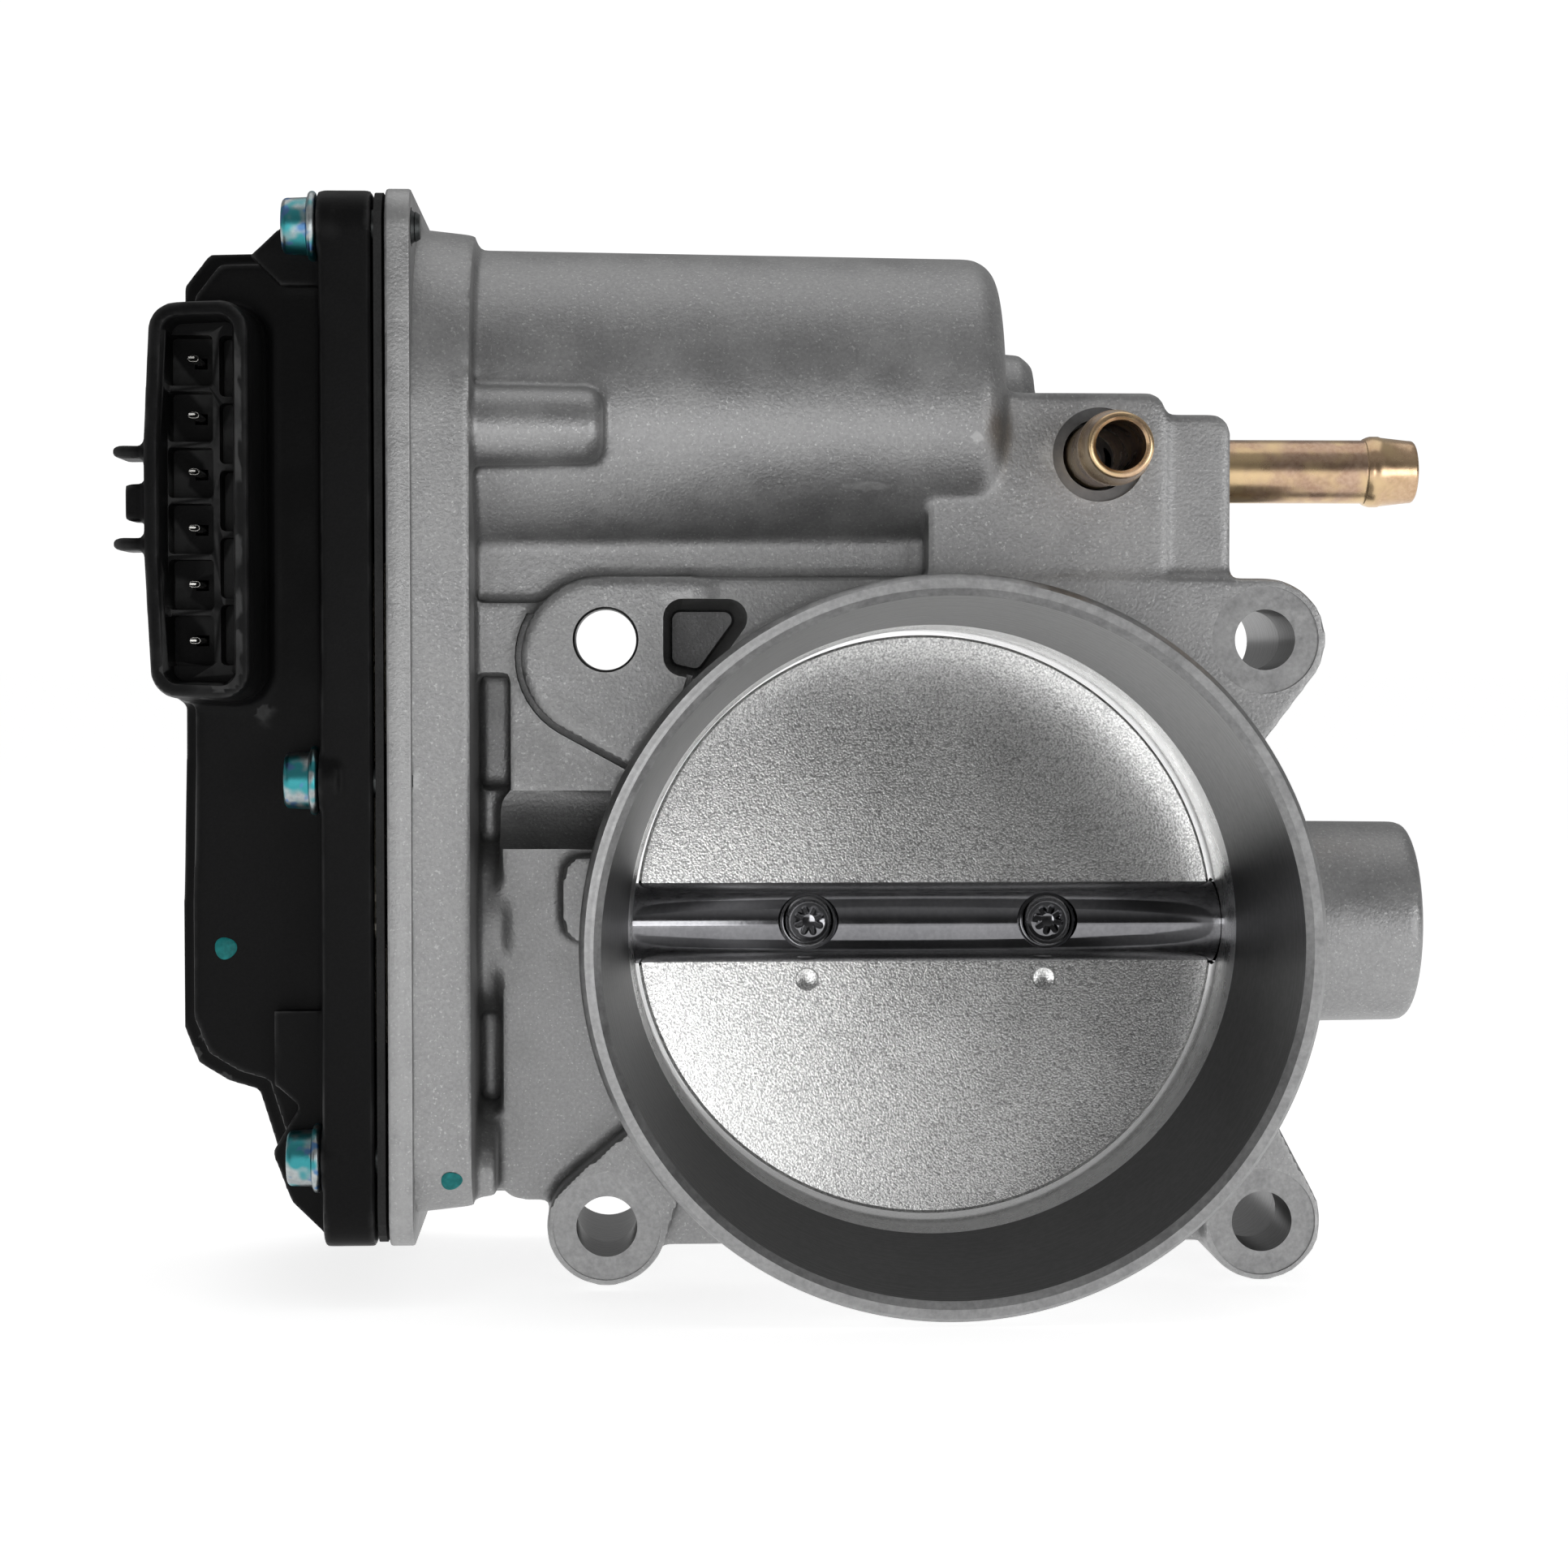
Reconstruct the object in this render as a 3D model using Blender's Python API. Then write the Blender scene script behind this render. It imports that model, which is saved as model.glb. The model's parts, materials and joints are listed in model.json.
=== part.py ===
"""Electronic throttle body, 70 mm bore.

The manifold face is the plane Y = 0 and the bore's axis is the Y axis, with the inlet lip on the
-Y side. The throttle shaft runs along X. Shapes are written in millimetres in one of two local
frames: along the bore (outline in X and Z, height H measured from the manifold face towards the
inlet, so Y = -H) or along the shaft (outline in Y and Z, height is X).
"""

import math

import bmesh
import bpy
from mathutils import Matrix, Vector

MM = 0.001
GAP = 0.3  # between pieces that touch or press together
ALONG_BORE = (math.pi / 2, 0.0, 0.0)
ALONG_SHAFT = (math.pi / 2, 0.0, math.pi / 2)

ROUND_STEPS = 64  # facets round the bore

# Bore, heights above the manifold face
BORE_R = 35.0
LIP_H, LIP_R, LIP_MOUTH_R = 60.0, 40.8, 38.4
FUNNEL_H, FUNNEL_R = 35.2, 35.2
TUBE_R = 40.0
SHAFT_H = 22.0

# Bolt flange
FLANGE_H, PAD_H = 37.5, 37.9
BOLT_X, BOLT_Z, BOLT_HOLE_R = 38.0, 33.75, 3.5
EAR_R = 6.9
RELIEF_R, RELIEF_H = 5.0, 26.0

# Shaft and plate
SHAFT_R = 4.9
SHAFT_LEFT, SHAFT_RIGHT = -66.6, 54.3
PLATE_R, PLATE_THICK = 34.6, 2.0
REST_ANGLE = math.radians(7.0)
PLATE_SCREW_X = 14.2
RUNNING_R = SHAFT_R + GAP
BOSS_R, BOSS_RIGHT = 12.0, 58.0
BEARING_R = 7.7
BEARING_POCKET_R = BEARING_R + GAP

# Gear train: throttle sector, idler with two wheels, motor pinion, all on Y = -SHAFT_H
SECTOR_MODULE, SECTOR_TEETH, IDLER_SMALL_TEETH = 1.0, 46, 19
PINION_MODULE, IDLER_LARGE_TEETH, PINION_TEETH = 0.8, 56, 14
IDLER_Z = SECTOR_MODULE * (SECTOR_TEETH + IDLER_SMALL_TEETH) / 2
MOTOR_Z = IDLER_Z + PINION_MODULE * (IDLER_LARGE_TEETH + PINION_TEETH) / 2
SECTOR_X = (-67.0, -63.2)
IDLER_LARGE_X = (-61.6, -57.9)
IDLER_SMALL_X = (-67.2, -61.0)
PINION_X = (-63.0, -57.8)

# Gear case and cover, outlines in Y and Z
CASE_Y = (-48.4, 4.5)
CASE_Z = (-34.5, 83.8)
CASE_FACE_X, CASE_RIM_X, FLOOR_X, CASE_BACK_X = -62.2, -59.4, -56.0, -53.0
SEAL_X = (-63.4, -62.5)
COVER_FACE_X, COVER_RIM_X, COVER_END_X = -63.7, -69.5, -86.0
COVER_ROOF_X = -67.5
BULGE_Y = (-41.0, -3.0)
TRAY_CORNERS = [(-25.6, 58.0, 20.8), (-18.4, 58.0, 20.8), (-40.4, -22, 6), (-3.6, -22, 6)]
COVER_WALL = 2.2
COVER_SCREWS = [(-44.9, 79.5), (-45.4, 18.0), (-44.9, -24.4), (1.0, 79.5), (1.4, 18.0), (1.0, -24.4)]
SCREW_R, SCREW_HOLE_R, SCREW_BOSS_R = 1.9, 2.2, 4.2

# Motor
BARREL_R, BARREL_LEFT, BARREL_RIGHT = 19.2, -55.0, 8.0
MOTOR_BORE_R, MOTOR_BORE_END = 16.8, 4.0
CAN_R, CAN_WALL, CAN_X = 16.4, 1.6, (-52.0, 2.6)
MOTOR_SHAFT_R = 1.5
ARMATURE_R, ARMATURE_X = 11.8, (-42.0, -8.0)
COMMUTATOR_R, COMMUTATOR_X = 4.0, (-49.0, -43.5)
MOTOR_MAGNET_R, MOTOR_MAGNET_X = 12.5, (-46.0, -6.0)
MOUNT_PLATE_X = (-57.4, -56.3)
MOTOR_SCREW_BOSS_R, MOTOR_SCREW_BOSS_END = 4.4, -38.0
MOTOR_SCREW_REACH, MOTOR_SCREW_TILT = 19.5, math.radians(8.0)

# Connector
SHROUD_X = (-88.0, -76.0)
SHROUD_Z = (27.0, 70.4)
SHROUD_H, SOCKET_FLOOR_H = 55.0, 44.0
TERMINAL_X, TERMINAL_TIP_H = -82.8, 52.0
TERMINAL_Z = [64.3 - 6.15 * n for n in range(6)]

# Coolant pipes
PIPE_R, PIPE_BORE_R = 3.85, 2.8
FRONT_PIPE = (18.7, 55.0)
SIDE_PIPE_H, SIDE_PIPE_Z = 25.0, 53.8


def clear_scene():
    """Removes every object that the scene starts with."""
    for old in list(bpy.data.objects):
        bpy.data.objects.remove(old, do_unlink=True)


def material(name, colour, roughness, metallic):
    """One Principled finish."""
    made = bpy.data.materials.new(name)
    made.use_nodes = True
    made.diffuse_color = (*colour, 1.0)
    shader = made.node_tree.nodes["Principled BSDF"]
    shader.inputs["Base Color"].default_value = (*colour, 1.0)
    shader.inputs["Roughness"].default_value = roughness
    shader.inputs["Metallic"].default_value = metallic
    return made


class Finish:
    """The finishes of the pieces, filled in by make_finishes."""


def make_finishes():
    """Every material that the pieces use."""
    Finish.cast = material("cast_aluminium", (0.42, 0.42, 0.42), 0.45, 0.9)
    Finish.plate = material("plate_metal", (0.62, 0.62, 0.61), 0.35, 1.0)
    Finish.steel = material("polished_steel", (0.55, 0.55, 0.56), 0.22, 1.0)
    Finish.zinc = material("zinc_steel", (0.40, 0.52, 0.52), 0.35, 0.9)
    Finish.copper = material("copper_alloy", (0.62, 0.36, 0.19), 0.25, 1.0)
    Finish.black = material("black_plastic", (0.02, 0.02, 0.021), 0.4, 0.0)
    Finish.gear = material("gear_plastic", (0.75, 0.72, 0.62), 0.5, 0.0)
    Finish.rubber = material("rubber", (0.03, 0.03, 0.03), 0.8, 0.0)
    Finish.magnet = material("magnet", (0.12, 0.12, 0.13), 0.5, 0.4)


# --- shapes, as bmeshes in millimetres, grown along their own Z ---------------------------------


def turned(profile, segments):
    """A solid or a ring turned about Z from (radius, height) points. An open profile ends on the axis."""
    bm = bmesh.new()
    verts = [bm.verts.new((radius, 0.0, height)) for radius, height in profile]
    ring = profile[0][0] > 0
    ends = verts[1:] + verts[:1] if ring else verts[1:]
    edges = [bm.edges.new(pair) for pair in zip(verts, ends)]
    bmesh.ops.spin(bm, geom=verts + edges, cent=(0, 0, 0), axis=(0, 0, 1), angle=2 * math.pi,
                   steps=segments, use_merge=True, use_duplicate=False)
    bmesh.ops.remove_doubles(bm, verts=bm.verts, dist=1e-5)
    return bm


def rod(radius, low, high, segments=20):
    """A plain cylinder."""
    return turned([(0, low), (radius, low), (radius, high), (0, high)], segments)


def tube(inner, outer, low, high, segments=32):
    """A plain ring."""
    return turned([(inner, low), (outer, low), (outer, high), (inner, high)], segments)


def prism(points, low, high):
    """An outline given by its corners, extruded from low to high."""
    bm = bmesh.new()
    face = bm.faces.new([bm.verts.new((x, y, low)) for x, y in points])
    grown = bmesh.ops.extrude_face_region(bm, geom=[face])
    moved = [item for item in grown["geom"] if isinstance(item, bmesh.types.BMVert)]
    bmesh.ops.translate(bm, vec=(0, 0, high - low), verts=moved)
    return bm


def wrapped(circles, low, high, segments=20):
    """The straight-sided band drawn round circles (x, y, radius), extruded from low to high."""
    bm = bmesh.new()
    for x, y, radius in circles:
        for height in (low, high):
            place = Matrix.Translation((x, y, height))
            bmesh.ops.create_circle(bm, segments=segments, radius=radius, matrix=place)
    hull = bmesh.ops.convex_hull(bm, input=bm.verts)
    spare = {item for item in hull["geom_interior"] + hull["geom_unused"]
             if isinstance(item, bmesh.types.BMVert)}
    bmesh.ops.delete(bm, geom=list(spare), context="VERTS")
    bmesh.ops.dissolve_limit(bm, angle_limit=1e-3, verts=bm.verts, edges=bm.edges)
    return bm


def rounded(x, y, corner, low, high, segments=16):
    """A block over x = (low, high) and y = (low, high) with round corners."""
    corners = [(a, b, corner) for a in (x[0] + corner, x[1] - corner)
               for b in (y[0] + corner, y[1] - corner)]
    return wrapped(corners, low, high, segments)


def block(x, y, z):
    """A plain box over three (low, high) pairs."""
    return prism([(x[0], y[0]), (x[1], y[0]), (x[1], y[1]), (x[0], y[1])], *z)


def arc_piece(inner, outer, start, sweep, low, high, steps=12):
    """A curved bar: part of a ring, with angles in degrees."""
    angles = [math.radians(start + sweep * n / steps) for n in range(steps + 1)]
    outline = [(outer * math.cos(a), outer * math.sin(a)) for a in angles]
    outline += [(inner * math.cos(a), inner * math.sin(a)) for a in reversed(angles)]
    return prism(outline, low, high)


def tooth_points(module, teeth, middle):
    """One involute tooth of a gear, centred on the angle middle, as outline points."""
    pressure = math.radians(20)
    addendum, dedendum, backlash = 0.88, 1.15, 0.16
    pitch_r = module * teeth / 2
    base_r = pitch_r * math.cos(pressure)
    tip_r = pitch_r + addendum * module
    root_r = pitch_r - dedendum * module
    half_pitch = math.pi / (2 * teeth) - backlash / (2 * pitch_r)

    def half_angle(radius):
        turn = math.acos(min(1.0, base_r / radius))
        return half_pitch + (math.tan(pressure) - pressure) - (math.tan(turn) - turn)

    low_r = max(base_r, root_r)
    radii = [low_r + (tip_r - low_r) * n / 2 for n in range(3)]
    flank = [(root_r, half_angle(low_r))] + [(radius, half_angle(radius)) for radius in radii]
    sides = [(radius, middle - half) for radius, half in flank]
    sides += [(radius, middle + half) for radius, half in reversed(flank)]
    return [(radius * math.cos(a), radius * math.sin(a)) for radius, a in sides]


def gear(module, teeth, first, low, high):
    """A full gear with a tooth centred on the angle first."""
    outline = []
    for n in range(teeth):
        outline += tooth_points(module, teeth, first + 2 * math.pi * n / teeth)
    bm = prism(outline, low, high)
    bmesh.ops.remove_doubles(bm, verts=bm.verts, dist=1e-4)
    return bm


# --- objects ---------------------------------------------------------------------------------


def add(name, bm, finish, location=(0, 0, 0), rotation=(0, 0, 0), parent=None):
    """Makes an object of a bmesh and places it; location is in millimetres."""
    bmesh.ops.recalc_face_normals(bm, faces=bm.faces)
    bmesh.ops.scale(bm, vec=(MM, MM, MM), verts=bm.verts)
    mesh = bpy.data.meshes.new(name)
    bm.to_mesh(mesh)
    bm.free()
    mesh.materials.append(finish)
    mesh.shade_smooth()
    mesh.set_sharp_from_angle(angle=math.radians(30))
    made = bpy.data.objects.new(name, mesh)
    bpy.context.scene.collection.objects.link(made)
    made.location = Vector(location) * MM
    made.rotation_euler = rotation
    made.parent = parent
    return made


def combine(target, other, operation):
    """Joins a shape to the target, or cuts it away, and keeps it as a hidden helper.

    Shapes that are joined one after another form one group, and so do those that are cut.
    """
    step = target.modifiers[-1] if target.modifiers else None
    if step is None or step.operation != operation:
        step = target.modifiers.new(other.name, "BOOLEAN")
        step.operation = operation
        step.solver = "EXACT"
        step.operand_type = "COLLECTION"
        step.collection = bpy.data.collections.new(other.name + "_group")
        bpy.context.scene.collection.children.link(step.collection)
    bpy.context.scene.collection.objects.unlink(other)
    step.collection.objects.link(other)
    other.hide_render = True
    other.display_type = "WIRE"


def join(target, name, bm, rotation, location=(0, 0, 0)):
    """Adds material to the target."""
    other = add(name, bm, target.data.materials[0], location, rotation, target.parent)
    combine(target, other, "UNION")


def cut(target, name, bm, rotation, location=(0, 0, 0)):
    """Takes material from the target."""
    other = add(name, bm, target.data.materials[0], location, rotation, target.parent)
    combine(target, other, "DIFFERENCE")


def pivot(name, location):
    """An empty on a joint's axis; the pieces that turn about it are its children."""
    made = bpy.data.objects.new(name, None)
    bpy.context.scene.collection.objects.link(made)
    made.location = Vector(location) * MM
    return made


def on_shaft(y=-SHAFT_H, z=0.0):
    """The location of a line along X."""
    return (0.0, y, z)


# --- housing -----------------------------------------------------------------------------------


def flange_shapes():
    """Ears and webs of the bolt flange: name, circles, height."""
    return [
        ("flange_top", [(-BOLT_X, BOLT_Z, 7.25), (BOLT_X, BOLT_Z, 7.1), (-30, 18, 1), (35.5, 22, 2)],
         FLANGE_H),
        ("ear_pad", [(-38.4, 31.7, 9.3), (-33, 19.5, 1.2), (-28, 39, 2)], PAD_H),
        ("ear_lower_left", [(-BOLT_X, -BOLT_Z, EAR_R), (-30, -22, 3)], FLANGE_H),
        ("ear_lower_right", [(BOLT_X, -BOLT_Z, EAR_R), (34, -20, 4)], FLANGE_H),
        ("flange_bottom", [(-36, -34, 2.5), (36, -34, 2.5), (-30, -20, 1), (30, -20, 1)], 34.0),
    ]


def add_castings(housing):
    """The cast shapes outside the bore tube."""
    for name, circles, height in flange_shapes():
        join(housing, name, wrapped(circles, 0, height), ALONG_BORE)
    join(housing, "side_upper", rounded((-56, -28), (12, 38), 2, 0, 35), ALONG_BORE)
    join(housing, "side_lower", rounded((-56, -26), (-31.5, 16.4), 3, 0, 32), ALONG_BORE)
    join(housing, "side_pad", block((-43.6, -37), (-1.3, 8.8), (20, 34.5)), ALONG_BORE)
    join(housing, "case_rim", rounded(CASE_Y, CASE_Z, 4.5, CASE_FACE_X, CASE_RIM_X), ALONG_SHAFT)
    case_corners = [(-25.6, 59.7, 22), (-18.4, 59.7, 22), (-39.6, -23.5, 8), (-4.4, -23.5, 8)]
    join(housing, "case_wall", wrapped(case_corners, CASE_RIM_X - 1, CASE_BACK_X, 40), ALONG_SHAFT)
    barrel = [(0, BARREL_LEFT), (BARREL_R, BARREL_LEFT), (BARREL_R - 1, BARREL_RIGHT - 3.5),
              (BARREL_R - 2, BARREL_RIGHT - 1), (BARREL_R - 4.5, BARREL_RIGHT), (7.4, BARREL_RIGHT),
              (7.2, BARREL_RIGHT + 2.5), (5.2, BARREL_RIGHT + 4.5), (0, BARREL_RIGHT + 4.5)]
    join(housing, "motor_barrel", turned(barrel, 48), ALONG_SHAFT, on_shaft(z=MOTOR_Z))
    for n, (y, z) in enumerate(motor_screw_places()):
        boss = rod(MOTOR_SCREW_BOSS_R, BARREL_LEFT + 1, MOTOR_SCREW_BOSS_END)
        join(housing, f"motor_screw_boss_{n}", boss, ALONG_SHAFT, (0, y, z))
    join(housing, "barrel_web", block((-54, 3), (37, 52), (8, 33)), ALONG_BORE)
    join(housing, "pipe_block", rounded((-1, 26.3), (37, 62.1), 1.5, 12, 37.3), ALONG_BORE)
    join(housing, "pipe_block_side", rounded((20, 34), (37, 59.7), 2.5, 14, 36.8), ALONG_BORE)
    boss = [(0, 30), (BOSS_R, 30), (BOSS_R, BOSS_RIGHT - 1), (BOSS_R - 1, BOSS_RIGHT), (0, BOSS_RIGHT)]
    join(housing, "shaft_boss", turned(boss, 40), ALONG_SHAFT, on_shaft())


def motor_screw_places():
    """The two motor screws, in Y and Z, opposite each other about the motor's axis."""
    dy = MOTOR_SCREW_REACH * math.cos(MOTOR_SCREW_TILT)
    dz = MOTOR_SCREW_REACH * math.sin(MOTOR_SCREW_TILT)
    return [(-SHAFT_H - dy, MOTOR_Z - dz), (-SHAFT_H + dy, MOTOR_Z + dz)]


def cut_gear_case(housing):
    """The gear case's hollow, which leaves a boss round each cover screw, and the screw holes."""
    corners = [(-25.6, 59.7, 20), (-18.4, 59.7, 20), (-39.6, -22, 6), (-4.4, -22, 6)]
    hollow = add("case_hollow", wrapped(corners, CASE_FACE_X - 1, FLOOR_X, 32), Finish.cast,
                 rotation=ALONG_SHAFT)
    for n, (y, z) in enumerate(COVER_SCREWS):
        if z < MOTOR_Z:
            cut(hollow, f"case_boss_{n}", rod(SCREW_BOSS_R, -65, -50, 16), ALONG_SHAFT, (0, y, z))
            cut(housing, f"screw_notch_{n}", rod(2.9, CASE_RIM_X - 0.2, -50, 16), ALONG_SHAFT, (0, y, z))
        cut(housing, f"screw_hole_{n}", rod(SCREW_HOLE_R, -64, -58, 16), ALONG_SHAFT, (0, y, z))
    combine(housing, hollow, "DIFFERENCE")
    join(housing, "open_stop", block((-36.5, -33), (-0.6, 2.8), (-61.5, FLOOR_X + 1)), ALONG_SHAFT)


def cut_machining(housing):
    """Everything that is machined: bore, bolt holes, shaft line, motor bore and coolant gallery."""
    mouth = [(0, -1), (BORE_R, -1), (BORE_R, 20), (BORE_R, FUNNEL_H - 3), (FUNNEL_R, FUNNEL_H),
             (LIP_MOUTH_R, LIP_H - 0.6), (LIP_MOUTH_R + 0.6, LIP_H + 1), (0, LIP_H + 1)]
    cut(housing, "bore", turned(mouth, ROUND_STEPS), ALONG_BORE)
    for x in (-BOLT_X, BOLT_X):
        for z in (-BOLT_Z, BOLT_Z):
            tag = f"{'left' if x < 0 else 'right'}_{'lower' if z < 0 else 'upper'}"
            hole = [(0, -1), (RELIEF_R, -1), (RELIEF_R, RELIEF_H), (BOLT_HOLE_R, RELIEF_H + 1.5),
                    (BOLT_HOLE_R, FLANGE_H + 5), (0, FLANGE_H + 5)]
            cut(housing, "bolt_hole_" + tag, turned(hole, 24), ALONG_BORE, (x, 0, z))
    pocket = [(-29.2, 36.2, 1.8), (-24.0, 36.2, 1.8), (-29.2, 31.8, 1.8), (-27.5, 31.4, 1.8)]
    cut(housing, "flange_pocket", wrapped(pocket, 20, FLANGE_H + 1, 12), ALONG_BORE)
    shaft_line = [(0, -58), (9.2, -58), (9.2, -50), (BEARING_POCKET_R, -50), (BEARING_POCKET_R, -41),
                  (RUNNING_R, -41), (RUNNING_R, 44), (BEARING_POCKET_R, 44), (BEARING_POCKET_R, 60),
                  (0, 60)]
    cut(housing, "shaft_line", turned(shaft_line, 32), ALONG_SHAFT, on_shaft())
    cut(housing, "motor_bore", rod(MOTOR_BORE_R, -58, MOTOR_BORE_END, 40), ALONG_SHAFT,
        on_shaft(z=MOTOR_Z))
    for n, (y, z) in enumerate(motor_screw_places()):
        cut(housing, f"motor_screw_hole_{n}", rod(1.8, -58, -42, 12), ALONG_SHAFT, (0, y, z))
    cut(housing, "idler_pin_hole", rod(2.8, -58, -50, 16), ALONG_SHAFT, on_shaft(z=IDLER_Z))
    cut(housing, "stop_screw_hole", rod(1.9, -6, 1, 12), ALONG_BORE, (-60.4, 0, -12))
    socket = [(0, 20), (PIPE_BORE_R, 20), (PIPE_BORE_R, 29), (PIPE_R + GAP, 29), (PIPE_R + GAP, 36.6),
              (4.7, 36.6), (4.7, 40), (0, 40)]
    cut(housing, "front_pipe_socket", turned(socket, 20), ALONG_BORE, (FRONT_PIPE[0], 0, FRONT_PIPE[1]))
    socket = [(0, 17), (PIPE_BORE_R, 17), (PIPE_BORE_R, 27), (PIPE_R + GAP, 27), (PIPE_R + GAP, 36),
              (0, 36)]
    cut(housing, "side_pipe_socket", turned(socket, 20), ALONG_SHAFT, (0, -SIDE_PIPE_H, SIDE_PIPE_Z))


def make_housing():
    """The die-cast body with the bore, bolt flange, gear case, motor barrel and coolant block."""
    body = [(0, 0), (TUBE_R, 0), (TUBE_R, FLANGE_H), (LIP_R - 0.2, LIP_H - 4), (LIP_R, LIP_H - 1),
            (LIP_R - 0.4, LIP_H), (0, LIP_H)]
    housing = add("throttle_housing", turned(body, ROUND_STEPS), Finish.cast, rotation=ALONG_BORE)
    add_castings(housing)
    cut_gear_case(housing)
    cut_machining(housing)
    return housing


# --- gear cover --------------------------------------------------------------------------------


def bulge_outline(inset):
    """The cover's raised part, side view in X and Z, drawn inset by a wall."""
    left, right = COVER_END_X + inset, COVER_RIM_X + 1 + inset
    return [(right, 78.6 - inset), (left + 4, 76.2 - inset), (left + 0.6, 73.0 - inset), (left + 0.4, 20.0),
            (left, 4.0), (left, -10.5 + inset), (left + 1.6, -14.5 + inset), (left + 5, -16.6 + inset),
            (-77.6 + inset, -17.6 + inset), (-75.0 + inset, -26.0 + inset), (right, -31.4 + inset)]


def make_cover():
    """The moulded cover: a flanged tray, its raised part and the connector's shroud."""
    cover = add("gear_cover", rounded(CASE_Y, CASE_Z, 4.5, COVER_RIM_X, COVER_FACE_X), Finish.black,
                rotation=ALONG_SHAFT)
    join(cover, "bulge", prism(bulge_outline(0), -BULGE_Y[1], -BULGE_Y[0]), ALONG_BORE)
    join(cover, "shroud", rounded(SHROUD_X, SHROUD_Z, 3.5, 37, SHROUD_H), ALONG_BORE)
    for z in (44.0, 54.0):
        join(cover, f"latch_guard_{z:.0f}", block((-91.3, -87), (z - 0.7, z + 0.7), (45, 53)), ALONG_BORE)
    ramp = [(-87, 50.6), (-90.1, 50.6), (-90.1, 46.5), (-87, 46.5)]
    join(cover, "latch_ramp", prism(ramp, 47, 52), ALONG_BORE)
    hollow = add("tray_hollow", wrapped(TRAY_CORNERS, COVER_ROOF_X, COVER_FACE_X + 1, 40), Finish.black,
                 rotation=ALONG_SHAFT)
    for n, (y, z) in enumerate(COVER_SCREWS):
        cut(hollow, f"cover_boss_{n}", rod(SCREW_BOSS_R, -72, -60, 16), ALONG_SHAFT, (0, y, z))
        cut(cover, f"cover_screw_hole_{n}", rod(SCREW_HOLE_R, -72, -60, 16), ALONG_SHAFT, (0, y, z))
    combine(cover, hollow, "DIFFERENCE")
    room = prism(bulge_outline(COVER_WALL), COVER_WALL - BULGE_Y[1], -BULGE_Y[0] - COVER_WALL)
    cut(cover, "bulge_hollow", room, ALONG_BORE)
    cut(cover, "socket", rounded((-86, -78), (29, 68.4), 1.8, SOCKET_FLOOR_H, 60), ALONG_BORE)
    for n, z in enumerate(TERMINAL_Z):
        slot = block((-0.85, 0.85), (-0.75, 0.75), (33, SOCKET_FLOOR_H + 1))
        cut(cover, f"terminal_slot_{n}", slot, ALONG_BORE, (TERMINAL_X, 0, z))
    return cover


def make_seal():
    """The rubber ring between the case and the cover, a flat band just inside the rims."""
    outer_y = (CASE_Y[0] + 0.4, CASE_Y[1] - 0.4)
    outer_z = (CASE_Z[0] + 0.4, CASE_Z[1] - 0.4)
    seal = add("cover_seal", rounded(outer_y, outer_z, 4.1, *SEAL_X), Finish.rubber, rotation=ALONG_SHAFT)
    hollow = add("seal_hollow", wrapped(TRAY_CORNERS, -65, -60, 40), Finish.rubber, rotation=ALONG_SHAFT)
    for n, (y, z) in enumerate(COVER_SCREWS):
        cut(hollow, f"seal_eye_{n}", rod(SCREW_BOSS_R, -66, -59, 16), ALONG_SHAFT, (0, y, z))
        cut(seal, f"seal_hole_{n}", rod(SCREW_HOLE_R, -66, -59, 16), ALONG_SHAFT, (0, y, z))
    combine(seal, hollow, "DIFFERENCE")


def make_cover_screws():
    """Six flange-head screws that hold the cover."""
    head = COVER_RIM_X - GAP
    profile = [(0, -58.4), (SCREW_R - 0.4, -58.4), (SCREW_R, -59.2), (SCREW_R, head), (3.9, head),
               (3.9, head - 1.0), (3.15, head - 1.0), (3.15, head - 3.4), (2.7, head - 3.8),
               (1.7, head - 3.8), (1.5, head - 1.8), (0, head - 1.8)]
    for n, (y, z) in enumerate(COVER_SCREWS):
        add(f"cover_screw_{n + 1}", turned(profile, 16), Finish.zinc, (0, y, z), ALONG_SHAFT)


def make_terminals():
    """Six connector blades that run from the socket into the cover."""
    for n, z in enumerate(TERMINAL_Z):
        blade = block((-0.5, 0.5), (-0.4, 0.4), (34.0, TERMINAL_TIP_H))
        add(f"terminal_{n + 1}", blade, Finish.copper, (TERMINAL_X, 0, z), ALONG_BORE)


# --- throttle: shaft, plate, sector ------------------------------------------------------------


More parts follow.
